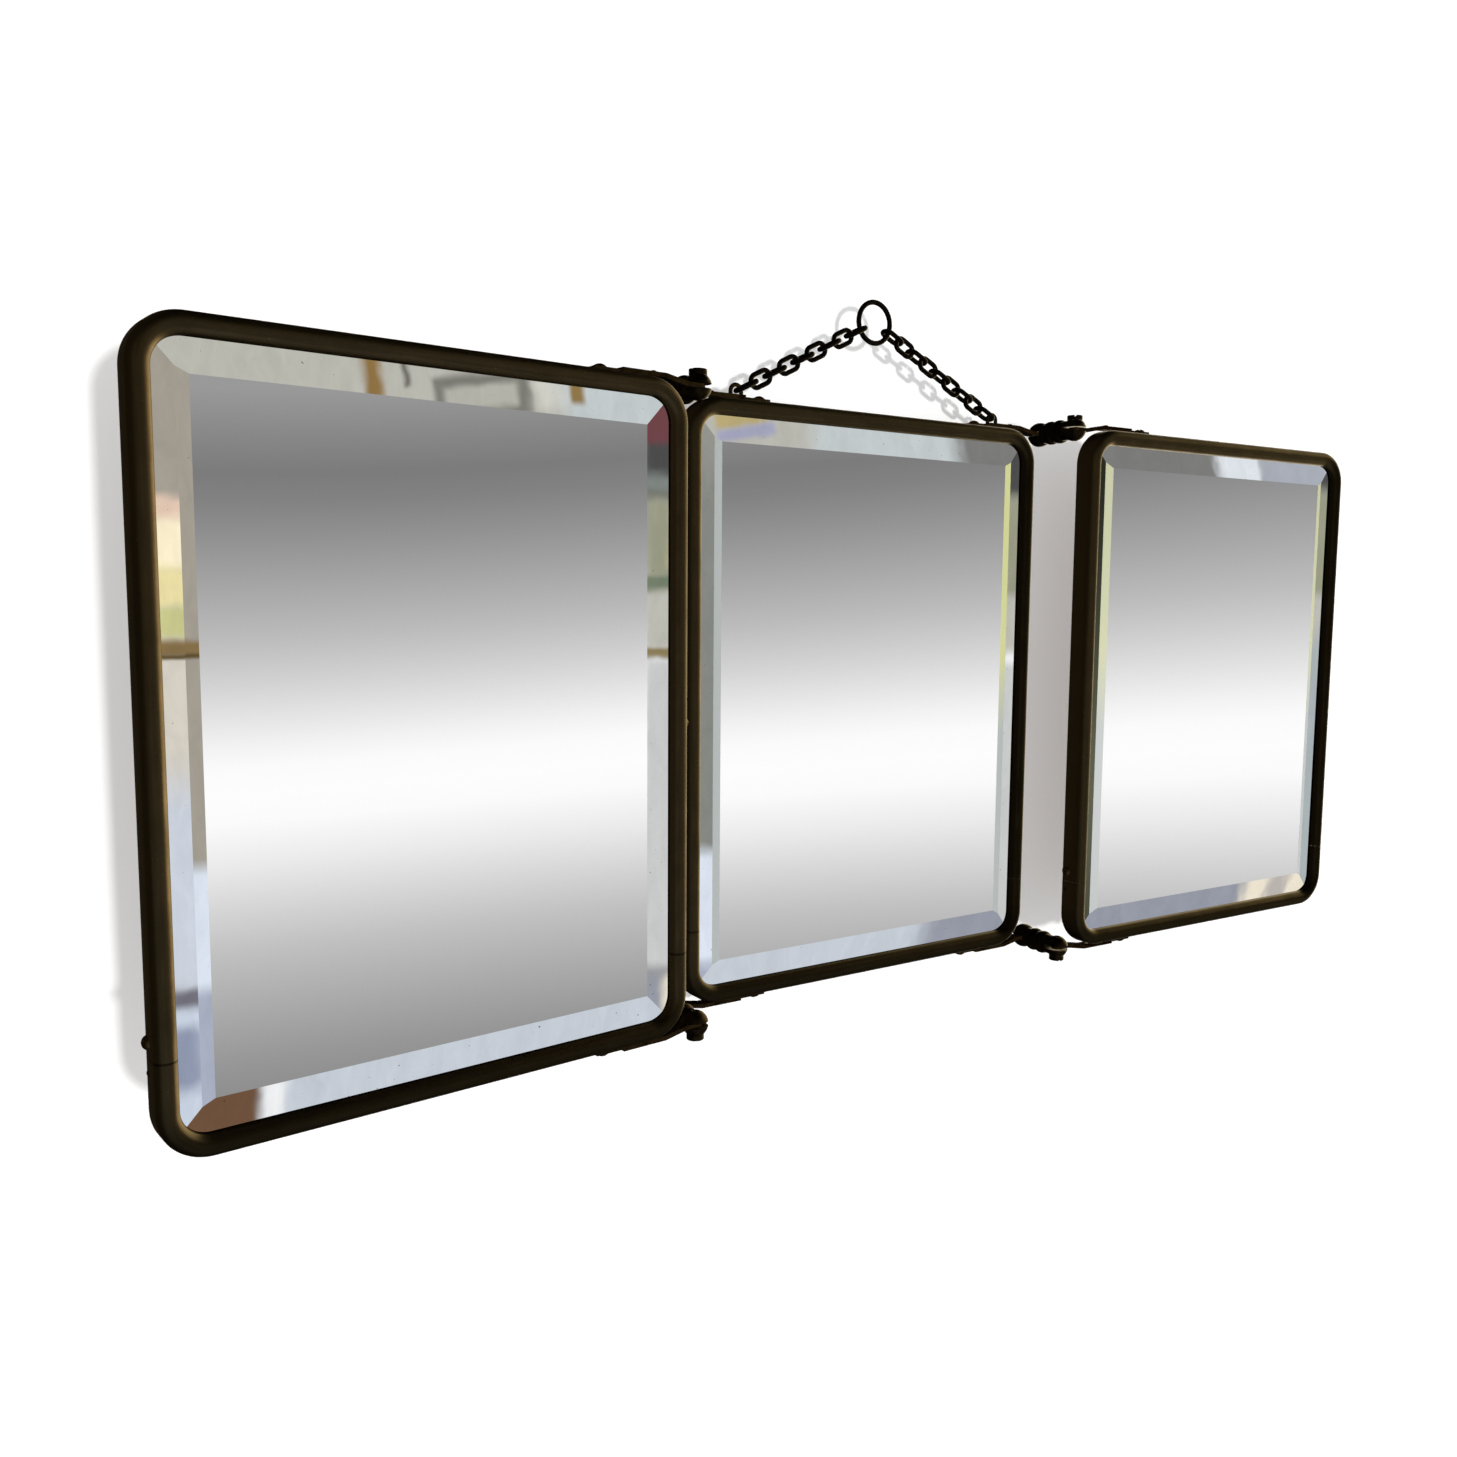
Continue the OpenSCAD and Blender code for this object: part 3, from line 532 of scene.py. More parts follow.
# Rolled brass strip, kept from the air inside the mouldings, so still yellow.
bright_brass = metal_finish("aged_rolled_brass", "#6f5830", "#9a7c45", "#c4a366",
                            (0.25, 0.4), 7, 1.0, 0.3, 0.6, 0.01)
# Drawn iron wire with a black oxide skin, which gives only thin grey highlights.
black_wire = metal_finish("blackened_iron_wire", "#0c0907", "#1c1712", "#3a3027",
                          (0.35, 0.55), 6, 0.8, 0.15, 0.7, 0.03)
print("metals:", len(bpy.data.materials))

# %% [markdown]
# The mouldings need their own finish. They were rolled from sheet brass, so their streaks run along them, and hands
# and cloths have rubbed the inner edge, next to the glass, back to gold; the colour across the section also holds
# painted light and shade, with painted highlight on that inner flank. Two numbers stored on the mesh say where a
# point is: how far around the section, and how far along the length. The streak pattern is drawn in those two
# numbers, long one way and narrow the other, so it turns the corners with the metal. A third number is painted
# shade that darkens the right-hand rails of the centre and the right panel.

# %% Patinated brass for the mouldings
def moulding_finish():
    """Rolled brass under a brown-black skin: streaks along the length, rubbed gold and painted highlight on the
    inner edge, painted shade on some rails.
    """
    material, tree, coords = new_material("patinated_rolled_brass")
    around = add_node(tree, "ShaderNodeAttribute", {"attribute_name": "around"}).outputs["Fac"]
    along = add_node(tree, "ShaderNodeAttribute", {"attribute_name": "along"}).outputs["Fac"]
    # Streaks: about 40 mm long, and a tenth of the face wide.
    lengthwise = calc(tree, "MULTIPLY", along, per_metre(40))
    crosswise = calc(tree, "MULTIPLY", around, 10.0)
    strip = add_node(tree, "ShaderNodeCombineXYZ", (), {0: lengthwise, 1: crosswise}).outputs[0]
    streaks = add_node(tree, "ShaderNodeTexNoise", (), {
        "Vector": strip, "Scale": 1.0, "Detail": 4.0, "Roughness": 0.6}).outputs["Fac"]
    mottle = add_node(tree, "ShaderNodeTexNoise", (), {
        "Vector": coords, "Scale": per_metre(18), "Detail": 5.0, "Roughness": 0.6}).outputs["Fac"]
    mixed = calc(tree, "ADD", streaks, mottle)
    skin = add_node(tree, "ShaderNodeMapRange", (), {
        "Value": mixed, "From Min": 0.8, "From Max": 1.25}).outputs[0]
    # From the outer side, over the rounded face, to the inner edge.
    centred = calc(tree, "SUBTRACT", mottle, 0.5)
    wandering = calc(tree, "MULTIPLY_ADD", centred, 0.12, around)
    # The stops hold painted light and shade as well as wear: browner on the outer side, darker over the middle, a
    # lighter inner flank that is partly rubbed gold and partly painted highlight, and a near-black inner edge that
    # is partly dirt and partly painted shade next to the glass.
    stops = ((0.05, "#4e432e"), (0.22, "#463c28"), (0.42, "#383020"), (0.62, "#382f1f"), (0.78, "#5e5139"),
             (0.88, "#6a5c42"), (0.94, "#1a140b"), (1.0, "#060402"))
    bands = fill_ramp(add_node(tree, "ShaderNodeValToRGB", (), {"Fac": wandering}),
                      [(position, linear(shade)) for position, shade in stops])
    colour = blend(tree, skin, bands.outputs["Color"], linear("#1e180d"), "ADD")
    colour = with_spots(tree, colour, coords, 1.3, "#9a7c50", 0.70, 0.78)
    # The bottom rails are darkened as painted shade, and dirt darkens the seam between the two halves, where a cloth
    # never reaches. The right-hand rails are darkened by painted shade as well, by a share that the mesh carries.
    level = add_node(tree, "ShaderNodeSeparateXYZ", (), {0: coords}).outputs["Z"]
    above = add_node(tree, "ShaderNodeMapRange", (), {
        "Value": level, "From Min": -151 * MM, "From Max": -134 * MM, "To Min": 0.45}).outputs[0]
    from_seam = calc(tree, "SUBTRACT", level, SEAM_Z)
    off_seam = calc(tree, "ABSOLUTE", from_seam)
    wiped = add_node(tree, "ShaderNodeMapRange", (), {
        "Value": off_seam, "From Min": 0.15 * MM, "From Max": 0.7 * MM, "To Min": 0.3}).outputs[0]
    # Painted shade on the right-hand rails, stored on the mesh.
    painted_rail_shade = add_node(tree, "ShaderNodeAttribute", {"attribute_name": "painted_rail_shade"}).outputs["Fac"]
    for share in (above, wiped, painted_rail_shade):
        colour = add_node(tree, "ShaderNodeVectorMath", {"operation": "SCALE"},
                          {0: colour, "Scale": share}).outputs[0]
    rough = add_node(tree, "ShaderNodeMapRange", (), {
        "Value": mixed, "From Min": 0.7, "From Max": 1.3, "To Min": 0.48, "To Max": 0.34}).outputs[0]
    relief = add_node(tree, "ShaderNodeBump", (), {
        "Height": streaks, "Strength": 1.0, "Distance": 0.05 * MM}).outputs[0]
    shader = add_node(tree, "ShaderNodeBsdfPrincipled", (), {
        "Base Color": colour, "Metallic": 1.0, "Roughness": rough, "Specular Tint": EDGE_TINT,
        "Normal": relief}).outputs[0]
    add_node(tree, "ShaderNodeOutputMaterial", (), {0: shader})
    return material


moulding_brass = moulding_finish()
print("moulding finish:", moulding_brass.name)

# %% [markdown]
# ## The mouldings
# A real moulding is a strip folded to a channel and drawn round the glass: one section, the same all the way. That
# is a rule, so Geometry Nodes make it. Each half starts as four points; the tree rounds the two corners, puts a
# ring every 1.5 mm, sweeps the section along, and lets the surface wander by a few hundredths of a millimetre, as
# hand-drawn brass does. The section is drawn in code: a D-shaped face in front, the hollow for glass and board, and
# the flange folded behind.

# %% The section of the moulding
def moulding_section():
    """Points as depth towards the front and distance inward, with the place around the section for each."""
    r = FACE_W / 2
    deep = FRAME_DEPTH - r
    lip = 8.705 * MM      # where the hollow ends behind the face
    bend = 2.6 * MM       # rounding of the outer back edge
    points = []
    for i in range(4, -1, -1):
        a = math.radians(90 * i / 4)
        points.append((bend * (1 - math.sin(a)), bend * (1 - math.cos(a)), 0.0))
    points.append((deep * 0.5, 0.0, 0.04))
    for i in range(25):
        a = math.radians(180 * i / 24)
        points.append((deep + r * math.sin(a), r - r * math.cos(a), 0.1 + 0.8 * i / 24))
    return points + [(lip, FACE_W, 1.0), (lip, WALL_T, 1.0), (FLANGE_T, WALL_T, 1.0),
                     (FLANGE_T, FLANGE_REACH, 0.0), (0.0, FLANGE_REACH, 0.0)]


outline = moulding_section()
section = helper_object("moulding_section", [(forward, -inward, 0) for forward, inward, _ in outline],
                        [(i, (i + 1) % len(outline)) for i in range(len(outline))])
place_around = section.data.attributes.new("around", "FLOAT", "POINT")
place_around.data.foreach_set("value", [around for _, _, around in outline])
print("points in the section:", len(outline))


# %% The tree that sweeps it
def new_tree(name, inputs):
    """An empty geometry tree with these inputs: name, kind and value."""
    tree = bpy.data.node_groups.new(name, "GeometryNodeTree")
    tree.interface.new_socket("Geometry", in_out="INPUT", socket_type="NodeSocketGeometry")
    for label, kind, value in inputs:
        socket = tree.interface.new_socket(label, in_out="INPUT", socket_type=kind)
        if value is not None:
            socket.default_value = value
    tree.interface.new_socket("Geometry", in_out="OUTPUT", socket_type="NodeSocketGeometry")
    return tree, add_node(tree, "NodeGroupInput").outputs


def end_tree(tree, geometry, finish):
    """Realize the instances, set the material, and hand the geometry out."""
    whole = add_node(tree, "GeometryNodeRealizeInstances", (), {0: geometry}).outputs[0]
    painted = add_node(tree, "GeometryNodeSetMaterial", (), {"Geometry": whole, "Material": finish}).outputs[0]
    add_node(tree, "NodeGroupOutput", (), {0: painted})


def run_tree(maker, tree, values):
    """Put the tree on the object with these inputs, by socket identifier, and keep the result."""
    modifier = maker.modifiers.new(tree.name, "NODES")
    modifier.node_group = tree
    for item in tree.interface.items_tree:
        if item.item_type == "SOCKET" and item.in_out == "INPUT" and item.name in values:
            modifier[item.identifier] = values[item.name]
    return final_mesh(maker)


sweep, given = new_tree("moulding_sweep", [
    ("Section", "NodeSocketObject", None), ("Corner radius", "NodeSocketFloat", CORNER_R),
    ("Ring spacing", "NodeSocketFloat", 1.5 * MM), ("Wander", "NodeSocketFloat", 0.05 * MM),
    ("Finish", "NodeSocketMaterial", None)])
line = add_node(sweep, "GeometryNodeMeshToCurve", (), {0: given["Geometry"]}).outputs[0]
bent = add_node(sweep, "GeometryNodeFilletCurve", {"mode": "POLY"}, {
    "Curve": line, "Count": 24, "Radius": given["Corner radius"]}).outputs[0]
ringed = add_node(sweep, "GeometryNodeResampleCurve", {"mode": "LENGTH"}, {
    "Curve": bent, "Length": given["Ring spacing"]}).outputs[0]
measured = add_node(sweep, "GeometryNodeStoreNamedAttribute", {"data_type": "FLOAT"}, {
    "Geometry": ringed, "Name": "along",
    "Value": add_node(sweep, "GeometryNodeSplineParameter").outputs["Length"]}).outputs[0]
faced = add_node(sweep, "GeometryNodeSetCurveNormal", {"mode": "FREE"}, {
    "Curve": measured, "Normal": (0, -1, 0)}).outputs[0]
drawn = add_node(sweep, "GeometryNodeObjectInfo", (), {"Object": given["Section"]}).outputs["Geometry"]
profile = add_node(sweep, "GeometryNodeMeshToCurve", (), {0: drawn}).outputs[0]
swept = add_node(sweep, "GeometryNodeCurveToMesh", (), {
    "Curve": faced, "Profile Curve": profile, "Fill Caps": True}).outputs[0]
ripple = add_node(sweep, "ShaderNodeTexNoise", (), {"Scale": per_metre(14), "Detail": 2.0}).outputs["Fac"]
offset = calc(sweep, "SUBTRACT", ripple, 0.5)
sized = calc(sweep, "MULTIPLY", offset, given["Wander"])
push = add_node(sweep, "ShaderNodeVectorMath", {"operation": "SCALE"}, {
    0: add_node(sweep, "GeometryNodeInputNormal").outputs["Normal"], "Scale": sized}).outputs[0]
moved = add_node(sweep, "GeometryNodeSetPosition", (), {"Geometry": swept, "Offset": push}).outputs[0]
end_tree(sweep, moved, given["Finish"])
print("nodes in the sweep:", len(sweep.nodes))

# %% Six halves of moulding
# How much of its colour each panel's right-hand rail keeps under painted shade, where the full shade starts, and how
# far it takes to fade out.
RIGHT_RAIL_SHADE = {"left": 1.0, "centre": 0.3, "right": 0.3}
RAIL_X, RAIL_FADE = 114 * MM, 14 * MM
for panel, (place, body) in PANELS.items():
    for half, sign, start in (("upper", 1, SEAM_Z + SEAM_GAP / 2), ("lower", -1, SEAM_Z - SEAM_GAP / 2)):
        w, h = sign * PANEL_W / 2, sign * PANEL_H / 2
        maker = helper_object("moulding_line", [(w, 0, start), (w, 0, h), (-w, 0, h), (-w, 0, start)],
                              [(0, 1), (1, 2), (2, 3)])
        mesh = close_up(run_tree(maker, sweep, {"Section": section, "Finish": moulding_brass}), 40)
        # Painted shade on the right-hand rail: it keeps only this share of its colour, fading in over RAIL_FADE.
        kept = RIGHT_RAIL_SHADE[panel]
        from_rail = [min(max((RAIL_X - v.co.x) / RAIL_FADE, 0), 1) for v in mesh.vertices]
        mesh.attributes.new("painted_rail_shade", "FLOAT", "POINT").data.foreach_set(
            "value", [kept + (1 - kept) * share for share in from_rail])
        mesh.transform(place)
        as_piece(f"{panel}_moulding_{half}", mesh, body, moulding_brass,
                 [f"{panel}_frame_{half}"])
        print(panel, half, "moulding:", len(mesh.polygons), "faces")

# %% [markdown]
# ## The mirror plates
# Each glass has a flat field with a ground bevel on all four sides, and the bevels meet in crisp mitres at the
# corners. On most upright sides the grinding left a second, shallower strip next to the field, and some of these
# strips never got their last polish. The plate is silvered, so glass and silver are one mirror piece here, drawn
# facet by facet in mesh code: a bevel is a plane, and no modifier would keep its edges so straight. The outline runs
# a little under the moulding's lip. Three numbers on each face tell the material whether it was ground, how much
# dark reflection is painted on it, and how matt it stayed.

# %% The finish of the plates
def mirror_finish():
    """Silvered plate glass: a clean mirror whose silver has a few dark specks near the edges."""
    material, tree, coords = new_material("silvered_plate_glass")
    zone = add_node(tree, "ShaderNodeAttribute", {"attribute_name": "ground"}).outputs["Fac"]
    painted_dark_reflection = add_node(tree, "ShaderNodeAttribute", {"attribute_name": "painted_dark_reflection"}).outputs["Fac"]
    # Some narrow strips were ground but hardly polished, so they are pale and matt more than mirrors.
    satin = add_node(tree, "ShaderNodeAttribute", {"attribute_name": "satin"}).outputs["Fac"]
    rough = add_node(tree, "ShaderNodeMapRange", (), {"Value": satin, "To Min": 0.012, "To Max": 0.32}).outputs[0]
    mirror_part = add_node(tree, "ShaderNodeMapRange", (), {
        "Value": satin, "To Min": 1.0, "To Max": 0.15}).outputs[0]
    # The ground facets were polished by hand and wave a little: one wave about 25 mm long.
    waves = add_node(tree, "ShaderNodeTexNoise", (), {
        "Vector": coords, "Scale": per_metre(25), "Detail": 2.0}).outputs["Fac"]
    wavy = calc(tree, "MULTIPLY", waves, zone)
    relief = add_node(tree, "ShaderNodeBump", (), {
        "Height": wavy, "Strength": 1.0, "Distance": 0.03 * MM}).outputs[0]
    # Specks of lost silver, about 1.5 mm across.
    specks = add_node(tree, "ShaderNodeTexNoise", (), {
        "Vector": coords, "Scale": per_metre(1.5), "Detail": 2.0}).outputs["Fac"]
    spotted = add_node(tree, "ShaderNodeMapRange", (), {
        "Value": specks, "From Min": 0.74, "From Max": 0.78}).outputs[0]
    lost = calc(tree, "MULTIPLY", spotted, zone)
    silver = blend(tree, lost, linear("#fdfdfd"), linear("#8d8b84"))
    # One facet carries a painted reflection of something dark: dark olive laid into the silver's colour.
    silver = blend(tree, painted_dark_reflection, silver, linear("#484b30"))
    # The matt strips are pale grey, with a painted reflection of a garden in yellow-green high up on the right.
    place = add_node(tree, "ShaderNodeSeparateXYZ", (), {0: coords}).outputs
    high_up = add_node(tree, "ShaderNodeMapRange", (), {
        "Value": place["Z"], "From Min": -25 * MM, "From Max": 25 * MM}).outputs[0]
    on_right = add_node(tree, "ShaderNodeMapRange", (), {
        "Value": place["X"], "From Min": 80 * MM, "From Max": 100 * MM}).outputs[0]
    painted_garden_reflection = calc(tree, "MULTIPLY", high_up, on_right)
    pale = blend(tree, painted_garden_reflection, linear("#b3b9b8"), linear("#d3d696"))
    silver = blend(tree, satin, silver, pale)
    shader = add_node(tree, "ShaderNodeBsdfPrincipled", (), {
        "Base Color": silver, "Metallic": mirror_part, "Roughness": rough, "Normal": relief}).outputs[0]
    add_node(tree, "ShaderNodeOutputMaterial", (), {0: shader})
    return material


plate_mirror = mirror_finish()
print("mirror finish:", plate_mirror.name)

# %% The shape of a bevelled plate
FRONT_DEPTH = 10.3 * MM           # the flat field's height above the wall side
FIELD_INSET = 22.5 * MM           # from the moulding's outer edge to the field
BEVEL_SLOPE = 2.4 / 19.7
STRIP_SLOPE = math.tan(math.radians(3.5))
UNDER_LIP, GLASS_INSET = 8.8 * MM, 2.8 * MM
# Inset and height of the rims that close the plate: under the lip, and the front and back of its edge.
RIMS = ((UNDER_LIP, 8.5 * MM), (GLASS_INSET, 7.9 * MM), (GLASS_INSET, 5.0 * MM))
CORNER_STEPS = 16
# Widths in mm of the shallow strip next to the field, on the left and right side, how strongly a dark reflection is
# painted on the outer left facet, and how matt the strips are.
GRINDING = {"left": (5.0, 0.0, 0.0, 0.0), "centre": (4.5, 5.0, 0.0, 1.0), "right": (6.5, 3.5, 0.95, 0.7)}


def drop(distance, strip_w):
    """How far the surface lies below the field at this distance outside it, past a strip of this width."""
    full = (FIELD_INSET - GLASS_INSET) * BEVEL_SLOPE
    outer_slope = (full - strip_w * STRIP_SLOPE) / (FIELD_INSET - GLASS_INSET - strip_w)
    return min(distance, strip_w) * STRIP_SLOPE + max(distance - strip_w, 0) * outer_slope


def corner_points(sx, sz, inset, mitre):
    """The rounded corner towards (sx, sz), in order round the plate, with the mitre's point in its middle."""
    cx, cz = PANEL_W / 2 - CORNER_R, PANEL_H / 2 - CORNER_R
    r = CORNER_R - inset
    half = CORNER_STEPS // 2
    angles = [mitre * i / half for i in range(half)]
    angles += [mitre + (90 - mitre) * i / half for i in range(half + 1)]
    points = [(sx * (cx + r * math.cos(math.radians(a))), sz * (cz + r * math.sin(math.radians(a))))
              for a in angles]
    return points if sx * sz > 0 else points[::-1]


def mitre_angle(strip_w):
    """The angle round the corner, from the side, where side and top facets are equally deep."""
    low, high = 5.0, 85.0
    reach = CORNER_R - UNDER_LIP
    for _ in range(40):
        middle = (low + high) / 2
        beyond_x = FIELD_INSET - CORNER_R + reach * math.cos(math.radians(middle))
        beyond_z = FIELD_INSET - CORNER_R + reach * math.sin(math.radians(middle))
        if drop(max(beyond_x, 0), strip_w) > drop(max(beyond_z, 0), 0):
            low = middle
        else:
            high = middle
    return (low + high) / 2


def plate_mesh(left_strip, right_strip, dark_reflection_share, mattness):
    """One bevelled plate in the panel's frame, with its front facets, edge and back."""
    shell = bmesh.new()
    ground = shell.faces.layers.float.new("ground")
    painted_dark_reflection = shell.faces.layers.float.new("painted_dark_reflection")
    satin = shell.faces.layers.float.new("satin")
    field_x, field_z = PANEL_W / 2 - FIELD_INSET, PANEL_H / 2 - FIELD_INSET
    strip_w = {1: right_strip * MM, -1: left_strip * MM}

    def depth(x, z):
        sideways = drop(max(abs(x) - field_x, 0), strip_w[1 if x > 0 else -1])
        return FRONT_DEPTH - max(sideways, drop(max(abs(z) - field_z, 0), 0))

    corners = [(1, 1), (-1, 1), (-1, -1), (1, -1)]
    mitres = [mitre_angle(strip_w[sx]) for sx, _ in corners]

    def ring(inset, height):
        return [[shell.verts.new((x, -(depth(x, z) if height is None else height), z))
                 for x, z in corner_points(sx, sz, inset, m)] for (sx, sz), m in zip(corners, mitres)]

    front = ring(UNDER_LIP, None)
    field = [shell.verts.new((sx * field_x, -FRONT_DEPTH, sz * field_z)) for sx, sz in corners]
    # Where a side has a strip, its two ends lie on the mitres; elsewhere the field's own corner serves.
    strip = []
    for (sx, sz), corner in zip(corners, field):
        fallen = strip_w[sx] * STRIP_SLOPE
        strip.append([shell.verts.new((sx * (field_x + strip_w[sx]), -FRONT_DEPTH + fallen,
                                       sz * (field_z + fallen / BEVEL_SLOPE)))] if fallen else [])
    half = CORNER_STEPS // 2
    faces = [(field, 0.0, 0.0, 0.0)]
    # The four bevels, from the right one, against the clock: each runs from one corner's mitre to the next.
    # Each bevel's second number is its share of the painted dark reflection, and only the left one has any.
    for i, dull in ((3, 0.0), (0, 0.0), (1, dark_reflection_share), (2, 0.0)):
        j = (i + 1) % 4
        rim = front[i][half:] + front[j][:half + 1]
        upright = i in (1, 3)
        first, last = (strip[i] or [field[i]]), (strip[j] or [field[j]])
        if upright:
            faces.append((first + rim + last, 1.0, dull, 0.0))
            if strip[i]:
                faces.append(([field[i]] + first + last + [field[j]], 0.6, 0.0, mattness))
        else:
            faces.append(([field[i]] + strip[i] + rim + strip[j] + [field[j]], 1.0, dull, 0.0))
    rings = [front] + [ring(inset, height) for inset, height in RIMS]
    loops = [[v for corner in r for v in corner] for r in rings]
    for upper, lower in zip(loops, loops[1:]):
        for i in range(len(upper)):
            j = (i + 1) % len(upper)
            faces.append(([upper[i], lower[i], lower[j], upper[j]], 0.0, 0.0, 0.0))
    faces.append((loops[-1][::-1], 0.0, 0.0, 0.0))
    for corners_of_face, *marks in faces:
        face = shell.faces.new(corners_of_face)
        face[ground], face[painted_dark_reflection], face[satin] = marks
    bmesh.ops.recalc_face_normals(shell, faces=shell.faces)
    return mesh_from(shell, "plate")


for panel, (place, body) in PANELS.items():
    mesh = plate_mesh(*GRINDING[panel])
    mesh.transform(place)
    as_piece(f"{panel}_mirror_plate", mesh, body, plate_mirror,
             [f"{panel}_glass", f"{panel}_silvering"])
    print(panel, "plate:", len(mesh.polygons), "faces")

# %% [markdown]
# ## Chains and ring
# A chain is the plainest case of a rule: one bent wire link, repeated, each turned a quarter round from the last.
# The tree below bends the link from two arcs and two straight sides, sets the links along a line at their real
# pitch, and turns every second one. The ends of each wire meet on one side with a hair's gap, as cheap bent links
# do. A second small tree bends the ring, which is the same wire work with one open joint.

# %% The chain tree and its two strands
RING_R, RING_WIRE, RING_Z = 11.1 * MM, 2.8 * MM, 210 * MM
CHAIN_WIRE, LINK_W, LINK_COUNT, PLAY = 2.7 * MM, 9.6 * MM, 9, 0.05 * MM
EYE_X, EYE_Z, EYE_R, EYE_WIRE = 92.5 * MM, 164.2 * MM, 3.3 * MM, 2.2 * MM
strand_angle = math.atan2(RING_Z - EYE_Z, EYE_X)
strand_length = math.hypot(EYE_X, RING_Z - EYE_Z) - RING_R - EYE_R
link_inner = (strand_length + (RING_WIRE + EYE_WIRE) / 2 + (LINK_COUNT + 1) * PLAY) / LINK_COUNT
bend_r = (LINK_W - CHAIN_WIRE) / 2
half_straight = (link_inner + CHAIN_WIRE) / 2 - bend_r


def wire_along(tree, line, wire_d, sides):
    """Round wire of this diameter along a curve, closed at its ends."""
    half = calc(tree, "DIVIDE", wire_d, 2.0)
    circle = add_node(tree, "GeometryNodeCurvePrimitiveCircle", {"mode": "RADIUS"}, {
        "Resolution": sides, "Radius": half}).outputs[0]
    return add_node(tree, "GeometryNodeCurveToMesh", (), {
        "Curve": line, "Profile Curve": circle, "Fill Caps": True}).outputs[0]


chain, given = new_tree("wire_chain", [
    ("Wire", "NodeSocketFloat", CHAIN_WIRE), ("Pitch", "NodeSocketFloat", link_inner - PLAY),
    ("Links", "NodeSocketInt", LINK_COUNT), ("Unevenness", "NodeSocketFloat", 0.05),
    ("Finish", "NodeSocketMaterial", None)])
centreline = add_node(chain, "GeometryNodeMeshToCurve", (), {0: given["Geometry"]}).outputs[0]
one_link = wire_along(chain, centreline, given["Wire"], 14)
step = add_node(chain, "ShaderNodeCombineXYZ", (), {0: given["Pitch"]}).outputs[0]
row = add_node(chain, "GeometryNodeMeshLine", {"mode": "OFFSET"}, {
    "Count": given["Links"], "Offset": step}).outputs[0]
index = add_node(chain, "GeometryNodeInputIndex").outputs[0]
odd = calc(chain, "MODULO", index, 2.0)
even = calc(chain, "SUBTRACT", 1.0, odd)
lean = calc(chain, "MULTIPLY", given["Unevenness"], -1.0)
chance = add_node(chain, "FunctionNodeRandomValue", {"data_type": "FLOAT"}, {
    2: lean, 3: given["Unevenness"], "Seed": 7}).outputs[1]
roll = calc(chain, "MULTIPLY_ADD", even, math.pi / 2, chance)
turned = add_node(chain, "ShaderNodeCombineXYZ", (), {0: roll}).outputs[0]
links = add_node(chain, "GeometryNodeInstanceOnPoints", (), {
    "Points": row, "Instance": one_link, "Rotation": turned}).outputs[0]
end_tree(chain, links, given["Finish"])


def link_line():
    """The centreline of one link in the XZ plane, open by a hair in the middle of one side."""
    gap = 0.15 * MM
    points = [(gap, 0, bend_r)]
    for side, start in ((1, 90), (-1, -90)):
        for i in range(13):
            a = math.radians(start - 180 * i / 12)
            points.append((side * half_straight + bend_r * math.cos(a), 0, bend_r * math.sin(a)))
    points.append((-gap, 0, bend_r))
    return points


for side, node in ((-1, "chain_left"), (1, "chain_right")):
    points = link_line()
    maker = helper_object("link_line", points, [(i, i + 1) for i in range(len(points) - 1)])
    mesh = run_tree(maker, chain, {"Finish": black_wire})
    first = RING_R - (RING_WIRE + CHAIN_WIRE) / 2 - PLAY + (link_inner + CHAIN_WIRE) / 2
    mesh.transform(Matrix.Translation((first, 0, 0)))
    mesh.transform(Matrix.Rotation(strand_angle, 4, "Y"))
    mesh.transform(Matrix.Translation((0, MID_Y, RING_Z)))
    if side < 0:
        mesh.transform(Matrix.Scale(-1, 4, (1, 0, 0)))
    as_piece(f"{node}_links", close_up(mesh, 50), "chain", black_wire, [node])
    print(node, "links of", round(link_inner * 1000, 2), "mm inside:", len(mesh.polygons), "faces")

# %% The ring tree
RING_SPLIT, RING_OPEN = 39, 1.6     # degrees
bend, given = new_tree("bent_wire", [
    ("Radius", "NodeSocketFloat", RING_R), ("Wire", "NodeSocketFloat", RING_WIRE),
    ("Start", "NodeSocketFloat", math.radians(RING_SPLIT)),
    ("Turn", "NodeSocketFloat", math.radians(360 - RING_OPEN)), ("Finish", "NodeSocketMaterial", None)])
arc = add_node(bend, "GeometryNodeCurveArc", {"mode": "RADIUS"}, {
    "Resolution": 96, "Radius": given["Radius"], "Start Angle": given["Start"],
    "Sweep Angle": given["Turn"]}).outputs[0]
stood = add_node(bend, "GeometryNodeTransform", (), {
    "Geometry": wire_along(bend, arc, given["Wire"], 20), "Rotation": (math.pi / 2, 0, 0)}).outputs[0]
end_tree(bend, stood, given["Finish"])

mesh = run_tree(helper_object("ring_place", [(0, 0, 0)]), bend, {"Finish": black_wire})
mesh.transform(Matrix.Translation((0, MID_Y, RING_Z)))
as_piece("hanging_ring_wire", close_up(mesh, 50), "ring", black_wire, ["hanging_ring"])
print("ring:", len(mesh.polygons), "faces")

# %% [markdown]
# ## Screws and rivets
# Four kinds of head repeat over the mirror: a slotted dome, a plain dome, a cheese head and a flush pin. Both domes
# come in two sizes. Each head is turned once in code, as a lathe would, and its slot is cut with a boolean. A node
# tree then sets one on every seat: each seat is a point that knows its outward direction, and a seeded random spin
# turns the slots, because nobody lines up screw slots.

